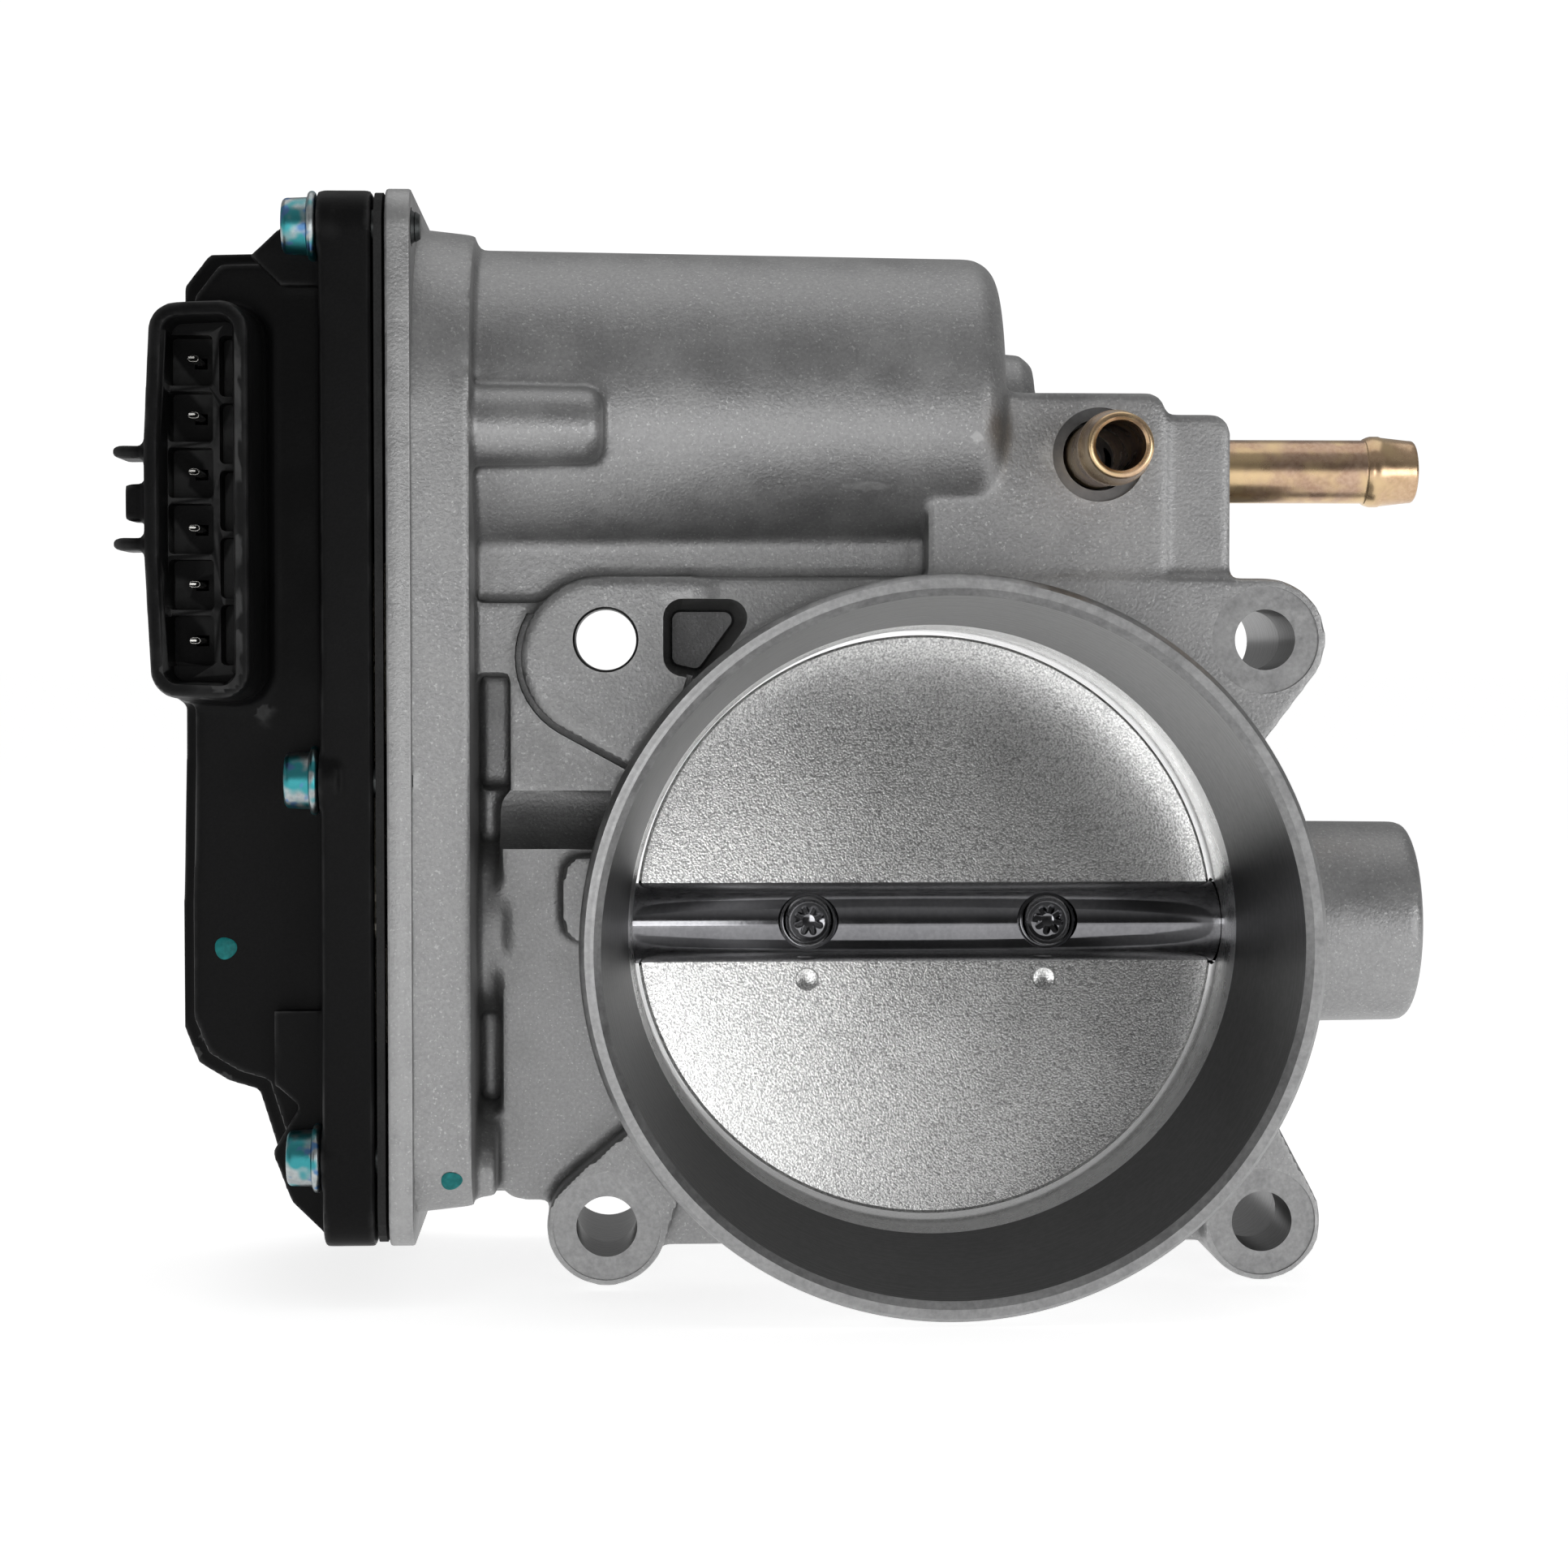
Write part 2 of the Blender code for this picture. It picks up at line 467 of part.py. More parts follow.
def make_throttle():
    """Shaft, plate and sector gear, all children of an empty on the shaft's axis."""
    axis = pivot("throttle_axis", on_shaft())
    profile = [(0, SHAFT_LEFT), (SHAFT_R - 0.6, SHAFT_LEFT), (SHAFT_R, SHAFT_LEFT + 0.6),
               (SHAFT_R, SHAFT_RIGHT - 0.6), (SHAFT_R - 0.6, SHAFT_RIGHT), (0, SHAFT_RIGHT)]
    shaft = add("throttle_shaft", turned(profile, 32), Finish.steel, rotation=ALONG_SHAFT, parent=axis)
    tilt = (math.pi / 2 - REST_ANGLE, 0.0, 0.0)
    slot_half = PLATE_THICK / 2 + GAP
    slot = block((-PLATE_R - GAP, PLATE_R + GAP), (-8, 8), (-slot_half, slot_half))
    cut(shaft, "plate_slot", slot, tilt)
    plate = add("throttle_plate", rod(PLATE_R, -PLATE_THICK / 2, PLATE_THICK / 2, ROUND_STEPS), Finish.plate,
                rotation=tilt, parent=axis)
    seat = [(0, -8), (2.3, -8), (2.3, 3.6), (3.3, 3.6), (3.3, 8), (0, 8)]
    screw = [(0, -4.6), (1.6, -4.6), (2.0, -4.2), (2.0, 3.9), (2.95, 3.9), (2.8, 5.4), (2.0, 6.1),
             (0.9, 6.3), (0.8, 5.2), (0, 5.2)]
    turned_place = Matrix.Rotation(tilt[0], 4, "X")
    for n, x in enumerate((-PLATE_SCREW_X, PLATE_SCREW_X)):
        place = turned_place @ Vector((x, 0, 0))
        cut(shaft, f"screw_seat_{n}", turned(seat, 20), tilt, place)
        cut(plate, f"plate_hole_{n}", rod(2.3, -3, 3, 16), tilt, place)
        add(f"plate_screw_{n + 1}", turned(screw, 20), Finish.steel, place, tilt, axis)
    make_sector(axis)
    magnet_x = (SECTOR_X[0] - GAP - 4.4, SECTOR_X[0] - GAP)
    for n, start in enumerate((20, 200)):
        bar = arc_piece(3.7, 5.6, start, 140, *magnet_x)
        add(f"sensor_magnet_{n + 1}", bar, Finish.magnet, rotation=ALONG_SHAFT, parent=axis)
    add("magnet_yoke", tube(5.9, 7.4, *magnet_x), Finish.steel, rotation=ALONG_SHAFT, parent=axis)
    add("spring_guide", tube(RUNNING_R, 6.3, -62.6, -50.4, 24), Finish.gear, rotation=ALONG_SHAFT,
        parent=axis)
    add("shaft_clip", tube(RUNNING_R, 6.9, 53.1, 53.9, 20), Finish.steel, rotation=ALONG_SHAFT,
        parent=axis)


def make_sector(axis):
    """The toothed sector on the shaft's end, with the lug that meets the stops."""
    outline = []
    pitch = 2 * math.pi / SECTOR_TEETH
    for n in range(-2, 12):
        outline += tooth_points(SECTOR_MODULE, SECTOR_TEETH, math.pi / 2 + pitch * n)
    hub = [math.radians(195 + 17 * n) for n in range(14)]
    outline += [(8.4 * math.cos(a), 8.4 * math.sin(a)) for a in hub]
    sector = add("throttle_gear", prism(outline, *SECTOR_X), Finish.gear, rotation=ALONG_SHAFT,
                 parent=axis)
    join(sector, "stop_lobe", wrapped([(0, -4, 4), (0, -12, 2.2)], *SECTOR_X, 12), ALONG_SHAFT)
    join(sector, "stop_lug", block((-1.5, 1.5), (-13.9, -9.6), (SECTOR_X[0] + 1, -58.6)), ALONG_SHAFT)
    cut(sector, "sector_bore", rod(RUNNING_R, -70, -60, 24), ALONG_SHAFT)


# --- idler, motor, sensor, bearings --------------------------------------------------------------


def make_idler():
    """The two-step idler wheel on its pin."""
    axis = pivot("idler_axis", on_shaft(z=IDLER_Z))
    down = -math.pi / 2
    small_first = down + math.pi / IDLER_SMALL_TEETH
    idler = add("idler_gear", gear(PINION_MODULE, IDLER_LARGE_TEETH, math.pi / 2, *IDLER_LARGE_X),
                Finish.gear, rotation=ALONG_SHAFT, parent=axis)
    join(idler, "idler_small", gear(SECTOR_MODULE, IDLER_SMALL_TEETH, small_first, *IDLER_SMALL_X),
         ALONG_SHAFT)
    cut(idler, "idler_bore", rod(2.8, -70, -55, 16), ALONG_SHAFT)
    add("idler_pin", rod(2.5, -70.5, -50.3, 16), Finish.steel, on_shaft(z=IDLER_Z), ALONG_SHAFT)


def make_rotor():
    """What turns in the motor: shaft, armature, commutator and pinion."""
    axis = pivot("motor_axis", on_shaft(z=MOTOR_Z))
    shaft_room = MOTOR_SHAFT_R + GAP
    add("motor_shaft", rod(MOTOR_SHAFT_R, -62.8, 3.2, 14), Finish.steel, rotation=ALONG_SHAFT,
        parent=axis)
    armature = add("motor_armature", rod(ARMATURE_R, *ARMATURE_X, 30), Finish.steel, rotation=ALONG_SHAFT,
                   parent=axis)
    cut(armature, "armature_bore", rod(shaft_room, ARMATURE_X[0] - 3, ARMATURE_X[1] + 3, 14), ALONG_SHAFT)
    for n in range(5):
        slot = block((4.5, ARMATURE_R + 1.2), (-1.2, 1.2), (ARMATURE_X[0] - 2, ARMATURE_X[1] + 2))
        bmesh.ops.rotate(slot, cent=(0, 0, 0), matrix=Matrix.Rotation(2 * math.pi * n / 5, 3, "Z"),
                         verts=slot.verts)
        cut(armature, f"armature_slot_{n}", slot, ALONG_SHAFT)
    add("motor_commutator", tube(shaft_room, COMMUTATOR_R, *COMMUTATOR_X, 20), Finish.copper,
        rotation=ALONG_SHAFT, parent=axis)
    first = -math.pi / 2 + math.pi / PINION_TEETH
    pinion = add("motor_pinion", gear(PINION_MODULE, PINION_TEETH, first, *PINION_X), Finish.steel,
                 rotation=ALONG_SHAFT, parent=axis)
    cut(pinion, "pinion_bore", rod(shaft_room, -65, -55, 14), ALONG_SHAFT)


def make_motor():
    """The motor's fixed pieces: can, magnets, brushes, end cap, mounting plate and terminals."""
    place = on_shaft(z=MOTOR_Z)
    left, right = CAN_X
    inner = CAN_R - CAN_WALL
    can = [(inner, left), (CAN_R, left), (CAN_R, right - 1), (CAN_R - 1, right), (3.5, right),
           (3.5, right - CAN_WALL), (inner, right - CAN_WALL)]
    add("motor_can", turned(can, 40), Finish.steel, place, ALONG_SHAFT)
    for n, start in enumerate((20, 200)):
        bar = arc_piece(MOTOR_MAGNET_R, inner - GAP, start, 140, *MOTOR_MAGNET_X)
        add(f"motor_magnet_{n + 1}", bar, Finish.magnet, place, ALONG_SHAFT)
    for n, side in enumerate((-1, 1)):
        tip = COMMUTATOR_R + GAP
        brush = block(sorted((tip * side, (tip + 4.3) * side)), (-1.6, 1.6), (-48.4, -44.4))
        add(f"motor_brush_{n + 1}", brush, Finish.magnet, place, ALONG_SHAFT)
        blade = block((6 * side - 2, 6 * side + 2), (12.1, 12.9), (-66.0, -55.9))
        add(f"motor_terminal_{n + 1}", blade, Finish.copper, place, ALONG_SHAFT)
    add("motor_end_cap", tube(2.2, CAN_R - 0.1, -55.6, left - GAP, 40), Finish.black, place, ALONG_SHAFT)
    add("motor_bush", tube(MOTOR_SHAFT_R + GAP, 3.2, 0.4, 3.4, 16), Finish.copper, place, ALONG_SHAFT)
    ears = [(y + SHAFT_H, z - MOTOR_Z) for y, z in motor_screw_places()]
    outline = [(y, z, 3.1) for y, z in ears] + [(0, 0, 10.5)]
    plate = add("motor_mount_plate", wrapped(outline, *MOUNT_PLATE_X, 24), Finish.zinc, place, ALONG_SHAFT)
    cut(plate, "mount_plate_bore", rod(BEARING_R - 0.1, -60, -54, 24), ALONG_SHAFT, place)
    for n, (y, z) in enumerate(motor_screw_places()):
        cut(plate, f"mount_plate_hole_{n}", rod(1.8, -60, -54, 12), ALONG_SHAFT, (0, y, z))
        screw = [(0, -44), (1.5, -44), (1.5, -57.7), (2.7, -57.7), (2.5, -59.4), (0, -59.7)]
        add(f"motor_screw_{n + 1}", turned(screw, 12), Finish.zinc, (0, y, z), ALONG_SHAFT)


def make_shaft_line():
    """Bearings, seals, end plug and return spring round the throttle shaft."""
    place = on_shaft()
    add("bearing_left", tube(RUNNING_R, BEARING_R, -49.7, -44.2), Finish.steel, place, ALONG_SHAFT)
    add("shaft_seal_left", tube(RUNNING_R, BEARING_R, -43.9, -41.3), Finish.rubber, place, ALONG_SHAFT)
    add("shaft_seal_right", tube(RUNNING_R, BEARING_R, 44.3, 46.4), Finish.rubber, place, ALONG_SHAFT)
    add("bearing_right", tube(RUNNING_R, BEARING_R, 46.7, 52.8), Finish.steel, place, ALONG_SHAFT)
    plug = [(0, 55.2), (BEARING_R, 55.2), (BEARING_R, 57.6), (BEARING_R - 1, 57.6), (BEARING_R - 1, 56.4),
            (0, 56.4)]
    add("shaft_end_plug", turned(plug, 32), Finish.steel, place, ALONG_SHAFT)
    add_spring(place)
    screw = [(0, -3.9), (1.6, -3.9), (1.6, 18.6), (0, 18.6)]
    add("closed_stop_screw", turned(screw, 12), Finish.steel, (-60.4, 0, -12), ALONG_BORE)


def add_spring(place):
    """The return spring: a coil of round wire between the bearing and the sector."""
    turns, mean_r, wire_r, low, high = 5, 7.4, 0.65, -61.9, -51.2
    steps = 14 * turns
    coil = bpy.data.curves.new("return_spring", "CURVE")
    coil.dimensions = "3D"
    coil.bevel_depth = wire_r * MM
    coil.bevel_resolution = 1
    coil.use_fill_caps = True
    line = coil.splines.new("POLY")
    line.points.add(steps)
    for n, point in enumerate(line.points):
        turn = 2 * math.pi * turns * n / steps
        height = low + (high - low) * n / steps
        point.co = (mean_r * math.cos(turn) * MM, mean_r * math.sin(turn) * MM, height * MM, 1.0)
    coil.materials.append(Finish.steel)
    made = bpy.data.objects.new("return_spring", coil)
    bpy.context.scene.collection.objects.link(made)
    made.location = Vector(place) * MM
    made.rotation_euler = ALONG_SHAFT


def make_sensor():
    """The angle sensor's stem, which reaches from the cover between the magnets."""
    end = COVER_END_X + COVER_WALL + GAP
    stem = [(0, end), (6.5, end), (6.5, end + 2), (3.0, end + 3), (3.0, -68.4), (0, -68.4)]
    add("angle_sensor", turned(stem, 20), Finish.black, on_shaft(), ALONG_SHAFT)


def pipe_profile(root, tip):
    """A pipe's section, with the bead near its tip that holds a hose."""
    return [(PIPE_BORE_R, root), (PIPE_R - 0.1, root), (PIPE_R - 0.1, tip - 5.8),
            (PIPE_R + 0.35, tip - 5.2), (PIPE_R + 0.35, tip - 4.2), (PIPE_R - 0.25, tip - 0.4),
            (PIPE_R - 0.5, tip), (PIPE_BORE_R, tip)]


def make_pipes():
    """The two coolant pipes in the block above the bore."""
    add("coolant_pipe_front", turned(pipe_profile(29.3, 54.0), 20), Finish.copper,
        (FRONT_PIPE[0], 0, FRONT_PIPE[1]), ALONG_BORE)
    add("coolant_pipe_side", turned(pipe_profile(27.3, 58.0), 20), Finish.copper,
        (0, -SIDE_PIPE_H, SIDE_PIPE_Z), ALONG_SHAFT)


def main():
    clear_scene()
    make_finishes()
    make_housing()
    make_cover()
    make_seal()
    make_cover_screws()
    make_terminals()
    make_throttle()
    make_idler()
    make_rotor()
    make_motor()
    make_shaft_line()
    make_sensor()
    make_pipes()


main()
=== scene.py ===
"""Visual model of an electronic throttle body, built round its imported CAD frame.

The bore's axis is the Y axis, with the inlet lip towards -Y and the manifold face at Y = 0. The throttle
shaft runs along X, 22 mm in front of the manifold face, and the gear case with its black cover is at the
-X end. Shapes are drawn in millimetres in one of two local frames, along the bore or along the shaft, and
are turned into metres when a piece is made.
"""

import functools
import json
import logging
import math
from collections.abc import Callable, Sequence
from dataclasses import dataclass, field
from enum import Enum
from typing import ClassVar

import bmesh
import bpy
from mathutils import Matrix, Vector


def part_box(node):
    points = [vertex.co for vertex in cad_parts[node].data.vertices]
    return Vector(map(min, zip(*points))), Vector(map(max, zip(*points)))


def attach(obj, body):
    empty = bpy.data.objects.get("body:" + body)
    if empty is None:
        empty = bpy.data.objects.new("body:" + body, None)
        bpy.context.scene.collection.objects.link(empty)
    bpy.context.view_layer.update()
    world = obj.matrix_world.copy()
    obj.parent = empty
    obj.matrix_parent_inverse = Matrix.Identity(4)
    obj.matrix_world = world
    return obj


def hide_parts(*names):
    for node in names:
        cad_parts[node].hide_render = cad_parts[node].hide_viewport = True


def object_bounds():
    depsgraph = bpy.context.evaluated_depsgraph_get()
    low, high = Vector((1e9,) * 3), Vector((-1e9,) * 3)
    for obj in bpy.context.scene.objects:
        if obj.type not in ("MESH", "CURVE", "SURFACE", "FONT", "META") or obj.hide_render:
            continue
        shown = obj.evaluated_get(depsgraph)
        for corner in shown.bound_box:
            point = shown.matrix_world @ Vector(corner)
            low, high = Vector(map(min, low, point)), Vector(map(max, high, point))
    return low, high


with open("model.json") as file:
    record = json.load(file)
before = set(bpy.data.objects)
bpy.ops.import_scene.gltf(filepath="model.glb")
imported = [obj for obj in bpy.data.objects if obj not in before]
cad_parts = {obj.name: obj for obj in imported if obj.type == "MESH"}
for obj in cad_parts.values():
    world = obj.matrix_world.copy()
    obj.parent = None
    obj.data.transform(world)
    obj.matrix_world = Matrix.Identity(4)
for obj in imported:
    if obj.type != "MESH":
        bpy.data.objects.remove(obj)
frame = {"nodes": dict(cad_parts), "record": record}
CAD_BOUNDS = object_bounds()

LOG = logging.getLogger("throttle_body")
MM = 0.001

Point = tuple[float, float]
Circle = tuple[float, float, float]
Span = tuple[float, float]
Colour = tuple[float, float, float]


class Along(Enum):
    """The two local frames in which shapes are drawn."""

    BORE = Matrix.Rotation(math.pi / 2, 4, "X")
    SHAFT = Matrix.Rotation(math.pi / 2, 4, "Z") @ Matrix.Rotation(math.pi / 2, 4, "X")


class Operation(Enum):
    """What a Boolean step does with a shape."""

    JOIN = "UNION"
    CUT = "DIFFERENCE"


class Surface(Enum):
    """Material slots of the casting."""

    CAST = 0
    MACHINED = 1
    BRIGHT = 2
    FACED = 3


# --- shapes --------------------------------------------------------------------------------------


class Shape:
    """A closed form in millimetres, grown along its own Z and then placed in the model."""

    def __init__(self, bm: bmesh.types.BMesh) -> None:
        """Takes over a bmesh and turns its faces outwards."""
        bmesh.ops.recalc_face_normals(bm, faces=bm.faces)
        self.bm = bm

    @classmethod
    def turned(cls, profile: Sequence[Point], steps: int = 96) -> "Shape":
        """Turns an outline about Z.

        Args:
            profile: (radius, height) points, from axis to axis, or the outline of a ring.
            steps: Facets round the axis.

        Returns:
            The turned form.
        """
        bm = bmesh.new()
        verts = [bm.verts.new((radius, 0.0, height)) for radius, height in profile]
        ring = profile[0][0] > 0
        ends = verts[1:] + verts[:1] if ring else verts[1:]
        edges = [bm.edges.new(pair) for pair in zip(verts, ends)]
        bmesh.ops.spin(bm, geom=verts + edges, cent=(0, 0, 0), axis=(0, 0, 1), angle=math.tau,
                       steps=steps, use_merge=True, use_duplicate=False)
        bmesh.ops.remove_doubles(bm, verts=bm.verts, dist=1e-5)
        return cls(bm)

    @classmethod
    def rod(cls, radius: float, low: float, high: float, steps: int = 48, edge: float = 0.0) -> "Shape":
        """A round bar whose two end edges are taken off by edge."""
        ends = [(radius, low), (radius, high)]
        if edge > 0:
            ends = [(radius - edge, low), (radius, low + edge), (radius, high - edge), (radius - edge, high)]
        return cls.turned([(0, low), *ends, (0, high)], steps)

    @classmethod
    def tube(cls, inner: float, outer: float, low: float, high: float, steps: int = 64,
             edge: float = 0.15) -> "Shape":
        """A ring whose outer edges are taken off by edge."""
        return cls.turned([(inner, low), (outer - edge, low), (outer, low + edge), (outer, high - edge),
                           (outer - edge, high), (inner, high)], steps)

    @classmethod
    def prism(cls, points: Sequence[Point], low: float, high: float) -> "Shape":
        """An outline given by its corners, extruded from low to high."""
        bm = bmesh.new()
        face = bm.faces.new([bm.verts.new((x, y, low)) for x, y in points])
        grown = bmesh.ops.extrude_face_region(bm, geom=[face])
        moved = [item for item in grown["geom"] if isinstance(item, bmesh.types.BMVert)]
        bmesh.ops.translate(bm, vec=(0, 0, high - low), verts=moved)
        return cls(bm)

    @classmethod
    def block(cls, x: Span, y: Span, z: Span) -> "Shape":
        """A plain box over three spans."""
        return cls.prism([(x[0], y[0]), (x[1], y[0]), (x[1], y[1]), (x[0], y[1])], *z)

    @classmethod
    def wrapped(cls, circles: Sequence[Circle], low: float, high: float, steps: int = 40,
                grow: float = 0.0, top_grow: float | None = None) -> "Shape":
        """The straight-sided band drawn round circles, extruded from low to high.

        Args:
            circles: (x, y, radius) of each circle.
            low: Height of the first end.
            high: Height of the second end.
            steps: Facets round each circle.
            grow: Added to every radius.
            top_grow: Added to every radius at the second end, where the sides lean.

        Returns:
            The extruded form.
        """
        bm = bmesh.new()
        for x, y, radius in circles:
            for height, more in ((low, grow), (high, grow if top_grow is None else top_grow)):
                place = Matrix.Translation((x, y, height))
                bmesh.ops.create_circle(bm, segments=steps, radius=radius + more, matrix=place)
        hull = bmesh.ops.convex_hull(bm, input=bm.verts)
        spare = {item for item in hull["geom_interior"] + hull["geom_unused"]
                 if isinstance(item, bmesh.types.BMVert)}
        bmesh.ops.delete(bm, geom=list(spare), context="VERTS")
        bmesh.ops.dissolve_limit(bm, angle_limit=1e-3, verts=bm.verts, edges=bm.edges)
        return cls(bm)

    @classmethod
    def rounded(cls, x: Span, y: Span, corner: float, low: float, high: float, steps: int = 32) -> "Shape":
        """A block over x and y with round corners."""
        corners = [(a, b, corner) for a in (x[0] + corner, x[1] - corner)
                   for b in (y[0] + corner, y[1] - corner)]
        return cls.wrapped(corners, low, high, steps)

    @classmethod
    def of(cls, meshes: Sequence[bpy.types.Mesh], scale: float = 1.0) -> "Shape":
        """Gathers meshes into one shape as they are, and removes them."""
        made = cls(bmesh.new())
        for mesh in meshes:
            made.bm.from_mesh(mesh)
            bpy.data.meshes.remove(mesh)
        bmesh.ops.scale(made.bm, vec=(scale, scale, scale), verts=made.bm.verts)
        return made

    def mesh(self, name: str) -> bpy.types.Mesh:
        """Ends the shape and returns it as a mesh."""
        made = bpy.data.meshes.new(name)
        self.bm.to_mesh(made)
        self.bm.free()
        return made

    def bevelled(self, width: float, segments: int = 2, over: float = 35.0) -> "Shape":
        """Rounds every edge sharper than the angle over, in degrees."""
        sharp = [edge for edge in self.bm.edges
                 if edge.is_manifold and edge.calc_face_angle(0.0) > math.radians(over)]
        bmesh.ops.bevel(self.bm, geom=sharp, offset=width, offset_type="OFFSET", segments=segments,
                        profile=0.5, affect="EDGES", material=-1, clamp_overlap=True)
        return self

    def toned(self, surface: Surface, where: Callable[[bmesh.types.BMFace], bool] | None = None) -> "Shape":
        """Gives the faces a slot of the casting, or only those that where picks."""
        for face in self.bm.faces:
            if where is None or where(face):
                face.material_index = surface.value
        return self

    def moved(self, matrix: Matrix) -> "Shape":
        """Applies a matrix in the shape's own millimetres."""
        bmesh.ops.transform(self.bm, matrix=matrix, verts=self.bm.verts)
        return self

    def placed(self, along: Along, location: Sequence[float] = (0, 0, 0)) -> "Shape":
        """Turns the shape into the model's frame and moves it to a location in millimetres."""
        return self.moved(Matrix.Translation(location) @ along.value)

    def piece(self, name: str, finishes: Sequence[bpy.types.Material]) -> bpy.types.Object:
        """Makes an object of the shape, in metres, and ends the shape.

        Args:
            name: The object's name.
            finishes: Its material slots.

        Returns:
            The object, at the origin.
        """
        bmesh.ops.scale(self.bm, vec=(MM, MM, MM), verts=self.bm.verts)
        return placed_mesh(name, self.mesh(name), finishes)


def placed_mesh(name: str, mesh: bpy.types.Mesh, finishes: Sequence[bpy.types.Material]) -> bpy.types.Object:
    """Links a mesh to the scene as an object with its material slots."""
    for finish in finishes:
        mesh.materials.append(finish)
    made = bpy.data.objects.new(name, mesh)
    bpy.context.scene.collection.objects.link(made)
    return made


def settle(body: bpy.types.Object) -> None:
    """Applies every modifier of an object to its mesh."""
    graph = bpy.context.evaluated_depsgraph_get()
    mesh = bpy.data.meshes.new_from_object(body.evaluated_get(graph), preserve_all_data_layers=True,
                                           depsgraph=graph)
    old = body.data
    body.modifiers.clear()
    body.data = mesh
    bpy.data.meshes.remove(old)


def work(body: bpy.types.Object, operation: Operation, shapes: Sequence[Shape]) -> None:
    """Joins shapes to a body, or cuts them from it, and applies the result.

    Args:
        body: The object that is changed.
        operation: Join or cut.
        shapes: The shapes, which are used up.
    """
    tools = [shape.piece(f"{body.name}_tool", list(body.data.materials)) for shape in shapes]
    for tool in tools:
        step = body.modifiers.new("step", "BOOLEAN")
        step.operation = operation.value
        step.solver = "MANIFOLD"
        step.object = tool
    settle(body)
    for tool in tools:
        bpy.data.meshes.remove(tool.data)


@dataclass(frozen=True)
class Softening:
    """How a moulded or cast blank gets its rounded edges."""

    voxel: float
    rounds: int
    keep: float

    def blank(self, name: str, shapes: Sequence[Shape],
              finishes: Sequence[bpy.types.Material]) -> bpy.types.Object:
        """Melts overlapping shapes into one body with filleted edges.

        Args:
            name: The object's name.
            shapes: Closed shapes that overlap.
            finishes: Its material slots.

        Returns:
            The softened body.
        """
        made = Shape.of([shape.mesh("part") for shape in shapes]).piece(name, finishes)
        remesh = made.modifiers.new("melt", "REMESH")
        remesh.mode = "VOXEL"
        remesh.voxel_size = self.voxel * MM
        smooth = made.modifiers.new("soften", "SMOOTH")
        smooth.factor = 0.5
        smooth.iterations = self.rounds
        thin = made.modifiers.new("thin", "DECIMATE")
        thin.ratio = self.keep
        settle(made)
        return made


def shade(body: bpy.types.Object, angle: float = 32.0) -> None:
    """Shades a body smooth, with a sharp line where faces meet at more than the angle."""
    body.data.shade_smooth()
    body.data.set_sharp_from_angle(angle=math.radians(angle))


def arc(centre: Point, radius: float, start: float, sweep: float, steps: int = 8) -> list[Point]:
    """Points along an arc, with angles in degrees."""
    angles = [math.radians(start + sweep * n / steps) for n in range(steps + 1)]
    return [(centre[0] + radius * math.cos(a), centre[1] + radius * math.sin(a)) for a in angles]


# --- node trees ----------------------------------------------------------------------------------


class Tree:
    """Short calls that fill a node tree."""

    def __init__(self, tree: bpy.types.NodeTree) -> None:
        """Empties the tree."""
        tree.nodes.clear()
        self.tree = tree

    def wire(self, socket: bpy.types.NodeSocket, value: object) -> None:
        """Links a socket to another, or gives it a value."""
        if isinstance(value, bpy.types.NodeSocket):
            self.tree.links.new(value, socket)
        elif isinstance(value, tuple) and len(value) == 3 and socket.type == "RGBA":
            socket.default_value = (*value, 1.0)
        else:
            socket.default_value = value

    def put(self, kind: str, inputs: dict[str, object] | None = None, **settings: object) -> bpy.types.Node:
        """Adds a node.

        Args:
            kind: The node's type.
            inputs: Values or sockets for its inputs, by name.
            **settings: The node's own properties.

        Returns:
            The node.
        """
        made = self.tree.nodes.new(kind)
        for name, value in settings.items():
            setattr(made, name, value)
        for name, value in (inputs or {}).items():
            self.wire(made.inputs[name], value)
        return made

    def sum(self, operation: str, *values: object) -> bpy.types.NodeSocket:
        """A Math node's result."""
        made = self.put("ShaderNodeMath", operation=operation)
        for socket, value in zip(made.inputs, values):
            self.wire(socket, value)
        return made.outputs[0]

    def between(self, value: object, low: float, high: float, to_low: float = 0.0,
                to_high: float = 1.0) -> bpy.types.NodeSocket:
        """A value mapped smoothly from one range to another, and held at its ends."""
        made = self.put("ShaderNodeMapRange", interpolation_type="SMOOTHSTEP")
        for socket, given in zip(made.inputs, (value, low, high, to_low, to_high)):
            self.wire(socket, given)
        return made.outputs[0]

    def mix(self, share: object, first: object, second: object) -> bpy.types.NodeSocket:
        """A mix of two colours."""
        made = self.put("ShaderNodeMix", data_type="RGBA")
        for index, given in ((0, share), (6, first), (7, second)):
            self.wire(made.inputs[index], given)
        return made.outputs[2]

    def place(self) -> bpy.types.NodeSocket:
        """Object coordinates."""
        return self.put("ShaderNodeTexCoord").outputs["Object"]

    def noise(self, size: object, detail: float = 2.0, vector: object = None) -> bpy.types.NodeSocket:
        """Noise whose blotches are about size millimetres across."""
        scale = self.sum("DIVIDE", 1000.0, size)
        made = self.put("ShaderNodeTexNoise", {"Scale": scale, "Detail": detail, "Roughness": 0.55,
                                               "Vector": self.place() if vector is None else vector})
        return made.outputs[0]

    def group(self, made: bpy.types.NodeTree, **inputs: object) -> bpy.types.Node:
        """Places a shared effect with its own values."""
        return self.put("ShaderNodeGroup", {name.replace("_", " "): value for name, value in inputs.items()},
                        node_tree=made)


